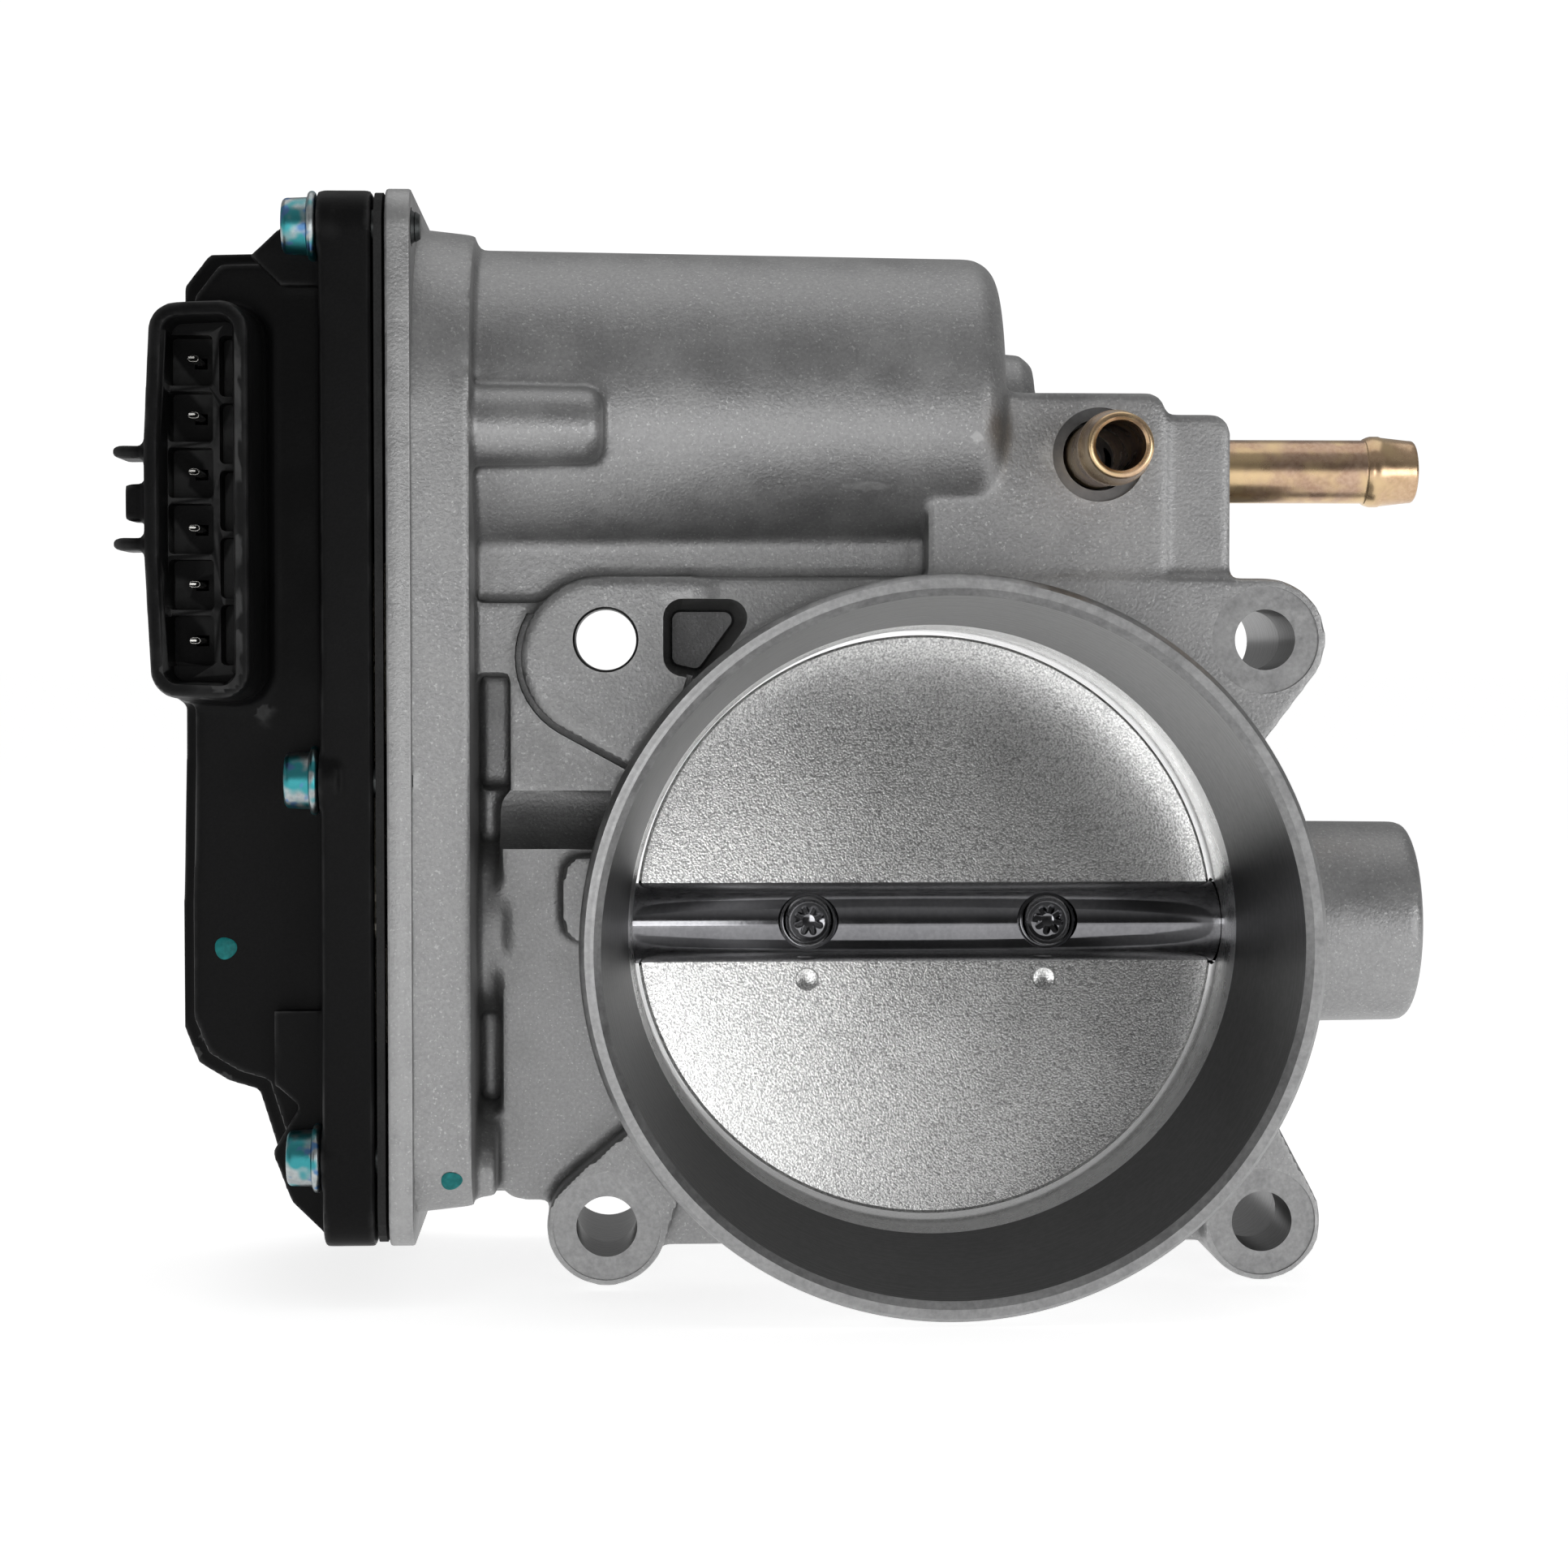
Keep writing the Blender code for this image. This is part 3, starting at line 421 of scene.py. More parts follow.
def new_group(name: str, inputs: dict[str, float], outputs: Sequence[str]) -> tuple[Tree, bpy.types.Node,
                                                                                     bpy.types.Node]:
    """Starts a shader node group.

    Args:
        name: The group's name.
        inputs: Its inputs and their usual values.
        outputs: Its outputs, all plain values.

    Returns:
        The group's tree, its input node and its output node.
    """
    made = bpy.data.node_groups.new(name, "ShaderNodeTree")
    tree = Tree(made)
    for title, value in inputs.items():
        socket = made.interface.new_socket(title, in_out="INPUT", socket_type="NodeSocketFloat")
        socket.default_value = value
    for title in outputs:
        made.interface.new_socket(title, in_out="OUTPUT", socket_type="NodeSocketFloat")
    return tree, tree.put("NodeGroupInput"), tree.put("NodeGroupOutput")


@functools.cache
def grain_effect() -> bpy.types.NodeTree:
    """Fine grain, broad mottle and rare bright specks, as on blasted or cast metal."""
    tree, given, made = new_group("surface_grain", {"Grain Size": 0.4, "Mottle Size": 9.0},
                                  ["Grain", "Mottle", "Speck"])
    size = given.outputs["Grain Size"]
    fine = tree.noise(size, 3.0)
    specks = tree.noise(tree.sum("MULTIPLY", size, 0.8), 1.0)
    tree.wire(made.inputs["Grain"], tree.between(fine, 0.25, 0.75))
    tree.wire(made.inputs["Mottle"], tree.between(tree.noise(given.outputs["Mottle Size"], 4.0), 0.3, 0.7))
    tree.wire(made.inputs["Speck"], tree.between(specks, 0.62, 0.74))
    return tree.tree


@functools.cache
def turning_effect() -> bpy.types.NodeTree:
    """Lathe marks about the bore's axis: rings on faces across it, and lines round walls along it."""
    tree, given, made = new_group("turning_marks", {"Pitch": 0.4}, ["Marks"])
    place = tree.put("ShaderNodeSeparateXYZ", {"Vector": tree.place()})
    flat = tree.put("ShaderNodeCombineXYZ", {"X": place.outputs["X"], "Z": place.outputs["Z"]})
    radius = tree.put("ShaderNodeVectorMath", operation="LENGTH")
    tree.wire(radius.inputs[0], flat.outputs[0])
    geometry = tree.put("ShaderNodeNewGeometry")
    normal = tree.put("ShaderNodeSeparateXYZ", {"Vector": geometry.outputs["Normal"]})
    across = tree.between(tree.sum("ABSOLUTE", normal.outputs["Y"]), 0.6, 0.8)
    scale = tree.sum("DIVIDE", 1000.0, given.outputs["Pitch"])
    lines = []
    for reach in (radius.outputs["Value"], place.outputs["Y"]):
        line = tree.put("ShaderNodeTexNoise", {"W": tree.sum("MULTIPLY", reach, scale), "Scale": 1.0,
                                               "Detail": 2.0}, noise_dimensions="1D")
        lines.append(line.outputs[0])
    blend = tree.put("ShaderNodeMix", {"Factor": across}, data_type="FLOAT")
    tree.wire(blend.inputs[2], lines[1])
    tree.wire(blend.inputs[3], lines[0])
    tree.wire(made.inputs["Marks"], tree.between(blend.outputs[0], 0.3, 0.7))
    return tree.tree


@functools.cache
def edge_highlight_and_corner_shade_effect() -> bpy.types.NodeTree:
    """Light along outer edges, partly wear and partly a painted highlight, and painted shade in inner
    corners, broken up by noise.
    """
    tree, given, made = new_group("edge_wear_highlight_and_corner_shade", {"Break Up": 3.0}, ["Edge", "Corner Shade"])
    point = tree.put("ShaderNodeNewGeometry").outputs["Pointiness"]
    broken = tree.between(tree.noise(given.outputs["Break Up"], 3.0), 0.3, 0.6, 0.4, 1.0)
    # Edge: lighter along outer edges, partly wear and partly a painted highlight.
    tree.wire(made.inputs["Edge"], tree.sum("MULTIPLY", tree.between(point, 0.51, 0.58), broken))
    # Corner: painted shade, darker where the surface folds inwards.
    tree.wire(made.inputs["Corner Shade"], tree.between(point, 0.49, 0.42))
    return tree.tree


# --- finishes ------------------------------------------------------------------------------------


@dataclass(frozen=True)
class Finish:
    """A surface: its colours, its gloss and the size of its grain, in millimetres.

    Attributes:
        name: The material's name.
        dark: Colour in the hollows of the grain.
        light: Colour on its tops.
        roughness: Mean roughness.
        metallic: Metallic value.
        grain: Size of the fine grain.
        mottle: Size of the broad variation.
        relief: Height of the grain.
        spread: How far the roughness varies.
        speck: How bright the rare specks are.
        edge: How light outer edges become, partly wear and partly a painted highlight.
        turned: Pitch of lathe marks, or 0 for none.
        turned_relief: Height of the lathe marks.
        cloud: Share of the broad variation in the colour.
        corner: How dark inner corners become, a painted shade.
        specular: Strength of the reflection on a surface that isn't metal.
    """

    name: str
    dark: Colour
    light: Colour
    roughness: float
    metallic: float
    grain: float = 0.4
    mottle: float = 9.0
    relief: float = 0.01
    spread: float = 0.08
    speck: float = 0.0
    edge: float = 0.0
    turned: float = 0.0
    turned_relief: float = 0.004
    cloud: float = 0.5
    corner: float = 0.0
    specular: float = 0.5

    def colour(self, tree: Tree, grain: bpy.types.Node) -> bpy.types.NodeSocket:
        """The surface's colour before specks and worn edges."""
        share = tree.sum("ADD", tree.sum("MULTIPLY", grain.outputs["Grain"], 1 - self.cloud),
                         tree.sum("MULTIPLY", grain.outputs["Mottle"], self.cloud))
        return tree.mix(share, self.dark, self.light)

    def material(self) -> bpy.types.Material:
        """Builds the material."""
        made = bpy.data.materials.new(self.name)
        made.use_nodes = True
        tree = Tree(made.node_tree)
        grain = tree.group(grain_effect(), Grain_Size=self.grain, Mottle_Size=self.mottle)
        colour = self.colour(tree, grain)
        if self.speck > 0:
            bright = tuple(min(1.0, value + self.speck) for value in self.light)
            colour = tree.mix(tree.sum("MULTIPLY", grain.outputs["Speck"], 0.8), colour, bright)
        # Outer edges lightened, partly wear and partly a painted highlight, and inner corners darkened with
        # painted shade.
        if self.edge > 0:
            edge_wear_and_painted_light = tree.group(edge_highlight_and_corner_shade_effect(), Break_Up=3.0)
            # Colour of the painted edge highlight.
            bright = tuple(min(1.0, value * 1.1 + self.edge) for value in self.light)
            colour = tree.mix(tree.sum("MULTIPLY", edge_wear_and_painted_light.outputs["Edge"], 0.7), colour, bright)
            # Colour of the painted shade in inner corners.
            deep = tuple(value * 0.25 for value in self.dark)
            colour = tree.mix(tree.sum("MULTIPLY", edge_wear_and_painted_light.outputs["Corner Shade"], self.corner), colour, deep)
        rough = tree.sum("ADD", self.roughness - self.spread / 2,
                         tree.sum("MULTIPLY", grain.outputs["Mottle"], self.spread))
        height = tree.sum("MULTIPLY", grain.outputs["Grain"], self.relief)
        if self.turned > 0:
            marks = tree.group(turning_effect(), Pitch=self.turned).outputs["Marks"]
            height = tree.sum("ADD", height, tree.sum("MULTIPLY", marks, self.turned_relief))
            rough = tree.sum("ADD", rough, tree.sum("MULTIPLY", marks, 0.06))
        bump = tree.put("ShaderNodeBump", {"Height": tree.sum("MULTIPLY", height, MM), "Distance": 1.0,
                                           "Strength": 1.0})
        shader = tree.put("ShaderNodeBsdfPrincipled", {
            "Base Color": colour, "Roughness": rough, "Metallic": self.metallic,
            "Specular IOR Level": self.specular, "Normal": bump.outputs[0]})
        out = tree.put("ShaderNodeOutputMaterial")
        tree.wire(out.inputs["Surface"], shader.outputs[0])
        made.diffuse_color = (*self.light, 1.0)
        return made


@dataclass(frozen=True)
class PlatedFinish(Finish):
    """Passivated zinc, whose film shows bands of blue and green."""

    film: Colour = (0.05, 0.30, 0.33)
    deep: Colour = (0.10, 0.22, 0.42)
    band: float = 2.6

    def colour(self, tree: Tree, grain: bpy.types.Node) -> bpy.types.NodeSocket:
        """Silver, with the film's two tints in soft patches."""
        base = super().colour(tree, grain)
        green = tree.between(tree.noise(self.band, 1.0), 0.42, 0.58)
        blue = tree.between(tree.noise(self.band * 0.6, 1.0), 0.55, 0.68)
        return tree.mix(blue, tree.mix(green, base, self.film), self.deep)


@dataclass(frozen=True)
class TarnishedFinish(Finish):
    """Drawn copper alloy, brown along its length and golden where it was formed."""

    gold: Colour = (0.68, 0.50, 0.29)

    def colour(self, tree: Tree, grain: bpy.types.Node) -> bpy.types.NodeSocket:
        """Copper brown with golden patches."""
        base = super().colour(tree, grain)
        return tree.mix(tree.between(tree.noise(7.0, 3.0), 0.45, 0.62), base, self.gold)


@dataclass
class Finishes:
    """Every material of the model, made once."""

    # Its edge and corner values paint a highlight along outer edges and shade into inner corners.
    cast: bpy.types.Material = field(default_factory=lambda: Finish(
        "cast_aluminium", (0.26, 0.26, 0.262), (0.38, 0.38, 0.38), 0.46, 0.85, grain=0.4, mottle=6.0,
        relief=0.02, spread=0.1, speck=0.12, edge=0.06, corner=0.7).material())
    # Base colour kept far darker than aluminium: a painted dark reflection, so the funnel and bores look
    # shaded.
    machined: bpy.types.Material = field(default_factory=lambda: Finish(
        "machined_aluminium_painted_dark", (0.12, 0.12, 0.122), (0.17, 0.17, 0.17), 0.32, 1.0, grain=0.9, mottle=14.0,
        relief=0.001, spread=0.03, turned=0.5, turned_relief=0.0008).material())
    bright: bpy.types.Material = field(default_factory=lambda: Finish(
        "bright_cut_aluminium", (0.66, 0.66, 0.66), (0.84, 0.84, 0.84), 0.26, 1.0, grain=0.6, mottle=3.0,
        relief=0.002, spread=0.1, turned=0.35, turned_relief=0.001).material())
    faced: bpy.types.Material = field(default_factory=lambda: Finish(
        "faced_aluminium", (0.22, 0.22, 0.222), (0.36, 0.36, 0.36), 0.36, 1.0, grain=0.6, mottle=2.5,
        relief=0.004, spread=0.12, turned=0.35, turned_relief=0.002).material())
    plate: bpy.types.Material = field(default_factory=lambda: Finish(
        "blasted_plate", (0.30, 0.30, 0.30), (0.90, 0.90, 0.89), 0.22, 1.0, grain=0.25, mottle=14.0,
        relief=0.009, spread=0.02, speck=0.1, cloud=0.12).material())
    steel: bpy.types.Material = field(default_factory=lambda: Finish(
        "ground_steel", (0.18, 0.18, 0.19), (0.25, 0.25, 0.26), 0.1, 1.0, grain=0.5, mottle=6.0,
        relief=0.0006, spread=0.04).material())
    thread: bpy.types.Material = field(default_factory=lambda: Finish(
        "dark_thread", (0.05, 0.055, 0.055), (0.10, 0.105, 0.105), 0.4, 1.0, grain=0.4, mottle=3.0,
        relief=0.003).material())
    zinc: bpy.types.Material = field(default_factory=lambda: PlatedFinish(
        "plated_screw", (0.30, 0.33, 0.34), (0.50, 0.54, 0.54), 0.34, 1.0, grain=0.4, mottle=3.0,
        relief=0.003).material())
    copper: bpy.types.Material = field(default_factory=lambda: TarnishedFinish(
        "copper_pipe", (0.40, 0.25, 0.17), (0.58, 0.41, 0.30), 0.28, 1.0, grain=0.5, mottle=4.0,
        relief=0.002, spread=0.08).material())
    brass: bpy.types.Material = field(default_factory=lambda: TarnishedFinish(
        "formed_pipe_end", (0.46, 0.30, 0.18), (0.66, 0.47, 0.31), 0.26, 1.0, grain=0.5, mottle=3.0,
        relief=0.002, spread=0.06).material())
    tin: bpy.types.Material = field(default_factory=lambda: Finish(
        "tinned_blade", (0.62, 0.61, 0.58), (0.80, 0.79, 0.76), 0.22, 1.0, grain=0.3, mottle=2.0,
        relief=0.001).material())
    # Its edge and corner values paint a highlight along outer edges and shade into inner corners.
    black: bpy.types.Material = field(default_factory=lambda: Finish(
        "moulded_black", (0.004, 0.004, 0.0042), (0.007, 0.007, 0.0072), 0.42, 0.0, grain=0.3,
        mottle=7.0, relief=0.005, spread=0.1, edge=0.06, corner=0.5, specular=0.08).material())
    gear: bpy.types.Material = field(default_factory=lambda: Finish(
        "moulded_natural", (0.62, 0.58, 0.48), (0.74, 0.70, 0.60), 0.45, 0.0, grain=0.5, mottle=6.0,
        relief=0.004).material())
    rubber: bpy.types.Material = field(default_factory=lambda: Finish(
        "seal_rubber", (0.012, 0.012, 0.012), (0.028, 0.028, 0.028), 0.7, 0.0, grain=0.3, mottle=4.0,
        relief=0.008, specular=0.2).material())
    magnet: bpy.types.Material = field(default_factory=lambda: Finish(
        "sintered_magnet", (0.07, 0.07, 0.075), (0.13, 0.13, 0.135), 0.5, 0.4, grain=0.3, mottle=3.0,
        relief=0.01).material())
    paint: bpy.types.Material = field(default_factory=lambda: Finish(
        "marking_paint", (0.0, 0.10, 0.10), (0.01, 0.20, 0.20), 0.45, 0.0, grain=0.5, mottle=1.2,
        relief=0.01, specular=0.2).material())


# --- sub-assemblies ------------------------------------------------------------------------------


@dataclass
class Layout:
    """Driving places read from the CAD frame, in millimetres."""

    shaft_h: float = 0.0
    lip_h: float = 0.0
    motor_z: float = 0.0
    screws: list[Point] = field(default_factory=list)
    terminals: list[float] = field(default_factory=list)

    def __post_init__(self) -> None:
        """Reads the places of the shaft, the lip, the motor, the cover screws and the blades."""
        self.shaft_h = -self.middle("throttle_shaft").y
        self.lip_h = -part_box("throttle_housing")[0].y / MM
        self.motor_z = self.middle("motor_can").z
        self.screws = [(spot.y, spot.z) for spot in self.numbered("cover_screw_")]
        self.terminals = [spot.z for spot in self.numbered("terminal_")]

    def middle(self, node: str) -> Vector:
        """The middle of a node's box."""
        low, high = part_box(node)
        return (low + high) / 2 / MM

    def numbered(self, stem: str) -> list[Vector]:
        """The middles of the nodes stem + 1 to 6."""
        return [self.middle(f"{stem}{n}") for n in range(1, 7)]

    def shaft(self, z: float = 0.0) -> Vector:
        """A point on the plane of the gear train."""
        return Vector((0, -self.shaft_h, z))


def install(piece: bpy.types.Object, body: str, nodes: Sequence[str] = (),
            angle: float = 32.0) -> None:
    """Shades a finished piece and tells the frame what it rides on and stands for.

    Args:
        piece: The finished object.
        body: The CAD body that it rides on.
        nodes: CAD nodes that it replaces.
        angle: Where faces meet at more than this, in degrees, the line stays sharp.
    """
    shade(piece, angle)
    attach(piece, body)
    if nodes:
        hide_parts(*nodes)
    LOG.info("%s: %d faces on %s", piece.name, len(piece.data.polygons), body)


@dataclass
class Housing:
    """The die-cast body: bore, bolt flange, gear case, motor barrel and coolant block."""

    layout: Layout
    finishes: Finishes
    bore_r: float = 35.0
    tube_r: float = 40.0
    lip_r: float = 40.8
    mouth_r: float = 38.4
    funnel_h: float = 33.6
    bolt: Point = (38.0, 33.75)
    bolt_r: float = 3.5
    seat_r: float = 6.2
    case_y: Span = (-48.4, 4.5)
    case_z: Span = (-34.5, 83.8)
    case_x: Span = (-62.2, -59.4)
    barrel_r: float = 19.2
    barrel_end: float = 8.0
    stock: float = 2.0
    softening: Softening = Softening(0.5, 5, 0.3)

    EAR_PAD: ClassVar[list[Circle]] = [(-38.4, 31.7, 9.3), (-33.0, 19.5, 1.2), (-28.0, 39.0, 2.0)]

    def flange(self) -> list[Shape]:
        """The bolt flange with its four ears and the blocks beside the gear case."""
        x, z = self.bolt
        wrapped = [
            ([(-x, z, 7.25), (x, z, 7.1), (-30, 18, 1), (35.5, 22, 2)], 37.5),
            (self.EAR_PAD, 37.9),
            ([(-x, -z, 6.9), (-30, -22, 3)], 37.5),
            ([(x, -z, 6.9), (34, -20, 4)], 37.5),
            ([(-36, -34, 2.5), (36, -34, 2.5), (-30, -20, 1), (30, -20, 1)], 34.0),
        ]
        back = -self.stock
        shapes = [Shape.wrapped(circles, back, high) for circles, high in wrapped]
        shapes += [
            Shape.rounded((-49.0, -28), (12, 38), 1.5, back, 35.0),
            Shape.rounded((-56, -46), (29.6, 38), 1.5, back, 35.0),
            Shape.rounded((-56, -46), (14.5, 38), 1.5, back, 24.0),
            Shape.rounded((-50.4, -26), (-31.5, 16.4), 2.5, back, 32.0),
            Shape.rounded((-57, -46), (-31.5, 16.4), 2.5, back, 25.5),
            Shape.wrapped([(-40.6, 6.4, 2.4), (-40.6, 1.1, 2.4), (-34, 8, 1), (-34, -0.5, 1)], 20, 34.5),
        ]
        return [shape.placed(Along.BORE) for shape in shapes]

    def barrel(self) -> list[Shape]:
        """The motor barrel with its draft, its round end and its screw bosses."""
        r, end = self.barrel_r, self.barrel_end
        profile = [(0, -55), (r, -55), (r - 0.75, end - 3.6), *arc((r - 4.35, end - 3.6), 3.6, 0, 90),
                   (7.4, end), (7.2, end + 3.0), (6.0, end + 4.5), (0, end + 4.5)]
        shapes = [Shape.turned(profile, 128).placed(Along.SHAFT, self.layout.shaft(self.layout.motor_z))]
        for y, z in self.motor_screws():
            boss = Shape.turned([(0, -54.5), (4.5, -54.5), (4.3, -40.2), *arc((2.3, -40.2), 2.0, 0, 90),
                                 (0, -38.2)], 40)
            shapes.append(boss.placed(Along.SHAFT, (0, y, z)))
        return shapes

    def motor_screws(self) -> list[Point]:
        """The two motor screws, in Y and Z."""
        spots = [self.layout.middle(f"motor_screw_{n}") for n in (1, 2)]
        return [(spot.y, spot.z) for spot in spots]

    def coolant_block(self) -> list[Shape]:
        """The block that holds the two coolant pipes, with the web that carries the barrel."""
        return [
            Shape.rounded((-54, 3), (37, 52), 1.0, 8, 33).placed(Along.BORE),
            Shape.rounded((-1, 26.3), (37, 62.1), 2.0, 12, 37.3).placed(Along.BORE),
            Shape.rounded((20, 34), (37, 59.7), 2.2, 14, 36.8).placed(Along.BORE),
            Shape.rounded((10.5, 24.0), (56.0, 62.1), 2.0, 12, 36.6).placed(Along.BORE),
        ]

    def gear_case(self) -> list[Shape]:
        """The wall behind the gear case's rim."""
        corners = [(-25.6, 59.7, 22), (-18.4, 59.7, 22), (-39.6, -23.5, 8), (-4.4, -23.5, 8)]
        wall = Shape.wrapped(corners, -60.4, -53.0, 96, 0.0, -0.8)
        corner = Shape.wrapped([(-36.0, -27.2, 3.6), (-30.0, -24.0, 3.6), (-8, -24.5, 6)], -55.5, -50.6, 48,
                               0.0, -0.6)
        return [shape.placed(Along.SHAFT) for shape in (wall, corner)]

    def boss(self) -> list[Shape]:
        """The shaft's boss on the right side, with its draft, and the wall round the return spring."""
        profile = [(0, 30), (12.2, 30), (11.95, 56.6), *arc((10.65, 56.6), 1.3, 0, 90, 5), (0, 57.9)]
        spring = Shape.rod(10.8, -57, -49.8, 64)
        shapes = (Shape.turned(profile, 96), spring)
        return [shape.placed(Along.SHAFT, self.layout.shaft()) for shape in shapes]

    def blank(self) -> bpy.types.Object:
        """The raw casting, with soft edges."""
        r = self.tube_r
        profile = [(0, -self.stock), (r, -self.stock), (r, 37.5), (r + 0.3, 52), (r + 0.3, 57.2), (0, 57.2)]
        tube = Shape.turned(profile, 160)
        shapes = [tube.placed(Along.BORE), *self.flange(), *self.barrel(), *self.coolant_block(),
                  *self.gear_case(), *self.boss()]
        slots = [self.finishes.cast, self.finishes.machined, self.finishes.bright, self.finishes.faced]
        return self.softening.blank("casting", shapes, slots)

    def crisp_shapes(self) -> list[Shape]:
        """Edges that stay crisp: the lip and the case's rim."""
        h, r = self.layout.lip_h, self.lip_r
        lip = Shape.turned([(30, 50.5), (r - 0.7, 50.5), (r - 0.15, 52.2), (r, h - 1.3), (r - 0.15, h - 0.7),
                            (r - 0.6, h), (30, h)], 192)
        lip.toned(Surface.FACED, lambda face: face.calc_center_median().z > h - 1.2)
        rim = Shape.rounded(self.case_y, self.case_z, 4.5, *self.case_x, 48).bevelled(0.3, 2)
        rim.toned(Surface.FACED, lambda face: face.calc_center_median().z < self.case_x[0] + 0.5)
        return [lip.placed(Along.BORE), rim.placed(Along.SHAFT)]

    def bolt_cuts(self) -> list[Shape]:
        """Bolt holes with their reliefs from behind and a faced seat in front."""
        cuts = []
        x, z = self.bolt
        for side_x in (-x, x):
            for side_z in (-z, z):
                hole = Shape.turned([(0, -1), (5.0, -1), (5.0, 26), (self.bolt_r, 27.5),
                                     (self.bolt_r, 37.6), (self.bolt_r + 1.2, 39), (0, 39)], 64)
                cuts.append(hole.toned(Surface.MACHINED).placed(Along.BORE, (side_x, 0, side_z)))
                if side_x > 0 or side_z < 0:
                    seat = Shape.rod(self.seat_r, 37.25, 39, 64)
                    cuts.append(seat.toned(Surface.FACED).placed(Along.BORE, (side_x, 0, side_z)))
        return cuts

    def flange_cuts(self) -> list[Shape]:
        """The triangular pocket, the groove round the upper left pad and the trough beside the bore."""
        pocket = [(-29.2, 36.2, 1.8), (-24.0, 36.2, 1.8), (-29.2, 31.8, 1.8), (-27.5, 31.4, 1.8)]
        floor = Shape.wrapped(pocket, 20, 39, 24, -0.6, 0.5).bevelled(0.25, 1)
        ring = Shape.wrapped(self.EAR_PAD, 31.5, 38.2, 48, 0.75)
        keep = Shape.wrapped(self.EAR_PAD, 30, 40, 48)
        beyond = Shape.block((-60, 0), (36.8, 60), (30, 40))
        groove = ring.placed(Along.BORE).piece("pad_groove", [self.finishes.cast])
        work(groove, Operation.CUT, [keep.placed(Along.BORE), beyond.placed(Along.BORE)])
        hollow = [*arc((-34.3, 16.4), 7.3, 0, -90, 16), (-38.5, 9.1), (-38.5, 16.4)]
        trough = Shape.prism(hollow, -52.5, -37.4)
        return [floor.placed(Along.BORE), Shape.of([groove.data], 1 / MM), trough.placed(Along.SHAFT)]

    def bore_cuts(self) -> list[Shape]:
        """The bore with its inlet funnel, and the line of the shaft across it."""
        r, h = self.bore_r, self.layout.lip_h
        mouth = [(0, -2), (r + 1.0, -2), (r + 1.0, 0), (r, 1.0), (r, 20), (r, self.funnel_h - 1.5),
                 (r + 0.5, self.funnel_h), (self.mouth_r, h - 0.8), (self.mouth_r + 1.2, h + 0.4),
                 (self.mouth_r + 1.2, h + 2), (0, h + 2)]
        bore = Shape.turned(mouth, 192).toned(Surface.BRIGHT)
        bore.toned(Surface.MACHINED, lambda face: self.funnel_h < face.calc_center_median().z < h - 0.9)
        bore.toned(Surface.FACED, lambda face: face.calc_center_median().z > h - 0.9)
        line = [(0, -58), (9.2, -58), (9.2, -50), (8.0, -50), (8.0, -41), (5.2, -41), (5.2, 44), (8.0, 44),
                (8.0, 57.3), (8.6, 58.5), (0, 58.5)]
        shaft = Shape.turned(line, 96).toned(Surface.MACHINED)
        return [bore.placed(Along.BORE), shaft.placed(Along.SHAFT, self.layout.shaft())]

    def case_cuts(self) -> list[Shape]:
        """The gear case's hollow, its screw holes, the motor's bore and the stop screw's hole."""
        corners = [(-25.6, 59.7, 20), (-18.4, 59.7, 20), (-39.6, -22, 6), (-4.4, -22, 6)]
        cuts = [Shape.wrapped(corners, -64, -56.0, 64).placed(Along.SHAFT)]
        for y, z in self.layout.screws:
            cuts.append(Shape.rod(2.2, -64, -59.3, 32).placed(Along.SHAFT, (0, y, z)))
        motor = Shape.rod(16.8, -58, 4, 96).toned(Surface.MACHINED)
        cuts.append(motor.placed(Along.SHAFT, self.layout.shaft(self.layout.motor_z)))
        for y, z in self.motor_screws():
            cuts.append(Shape.rod(1.8, -58, -42, 24).placed(Along.SHAFT, (0, y, z)))
        idler = self.layout.middle("idler_pin")
        cuts.append(Shape.rod(2.8, -58, -50, 32).placed(Along.SHAFT, (0, idler.y, idler.z)))
        stop = self.layout.middle("closed_stop_screw")
        cuts.append(Shape.rod(1.9, -6, 1, 24).placed(Along.BORE, (stop.x, 0, stop.z)))
        return cuts

    def pipe_cuts(self) -> list[Shape]:
        """Sockets and faced rings for the two coolant pipes."""
        front = self.layout.middle("coolant_pipe_front")
        side = self.layout.middle("coolant_pipe_side")
        head = [(0, 20), (2.8, 20), (2.8, 29), (4.1, 29), (4.1, 36.5), (5.4, 36.5), (5.4, 40), (0, 40)]
        flank = [(0, 17), (2.8, 17), (2.8, 27), (4.1, 27), (4.1, 33.3), (4.7, 34.2), (4.7, 40), (0, 40)]
        return [Shape.turned(head, 64).toned(Surface.MACHINED).placed(Along.BORE, (front.x, 0, front.z)),
                Shape.turned(flank, 64).toned(Surface.MACHINED).placed(Along.SHAFT, (0, side.y, side.z))]

    def back_cuts(self) -> list[Shape]:
        """The machined manifold face, and shallow cores and pin marks of the die behind."""
        face = Shape.block((-52.9, 60), (-45, 45), (-5, 0.0)).toned(Surface.MACHINED)
        cuts = [face.placed(Along.BORE)]
        for side in (-1, 1):
            core = Shape.wrapped([(side * 29.5, 32.2, 1.6), (side * 24, 35.2, 1.6), (side * 20, 37.4, 1.2)],
                                 -1, 3.0, 24, 0.4, 0.0)
            cuts.append(core.placed(Along.BORE))
        for x, z in ((-44, 60.5), (-26, 60.5), (-8, 60.5)):
            mark = Shape.rod(2.4, -1.0, 3.1, 32)
            cuts.append(mark.placed(Along.BORE, (x, 0, z)))
        return cuts

    def build(self) -> bpy.types.Object:
        """Makes the casting, machines it and installs it."""
        body = self.blank()
        work(body, Operation.JOIN, self.crisp_shapes())
        work(body, Operation.CUT, [*self.bore_cuts(), *self.bolt_cuts(), *self.flange_cuts(),
                                   *self.case_cuts(), *self.pipe_cuts(), *self.back_cuts()])
        install(body, "housing", ["throttle_housing"])
        return body


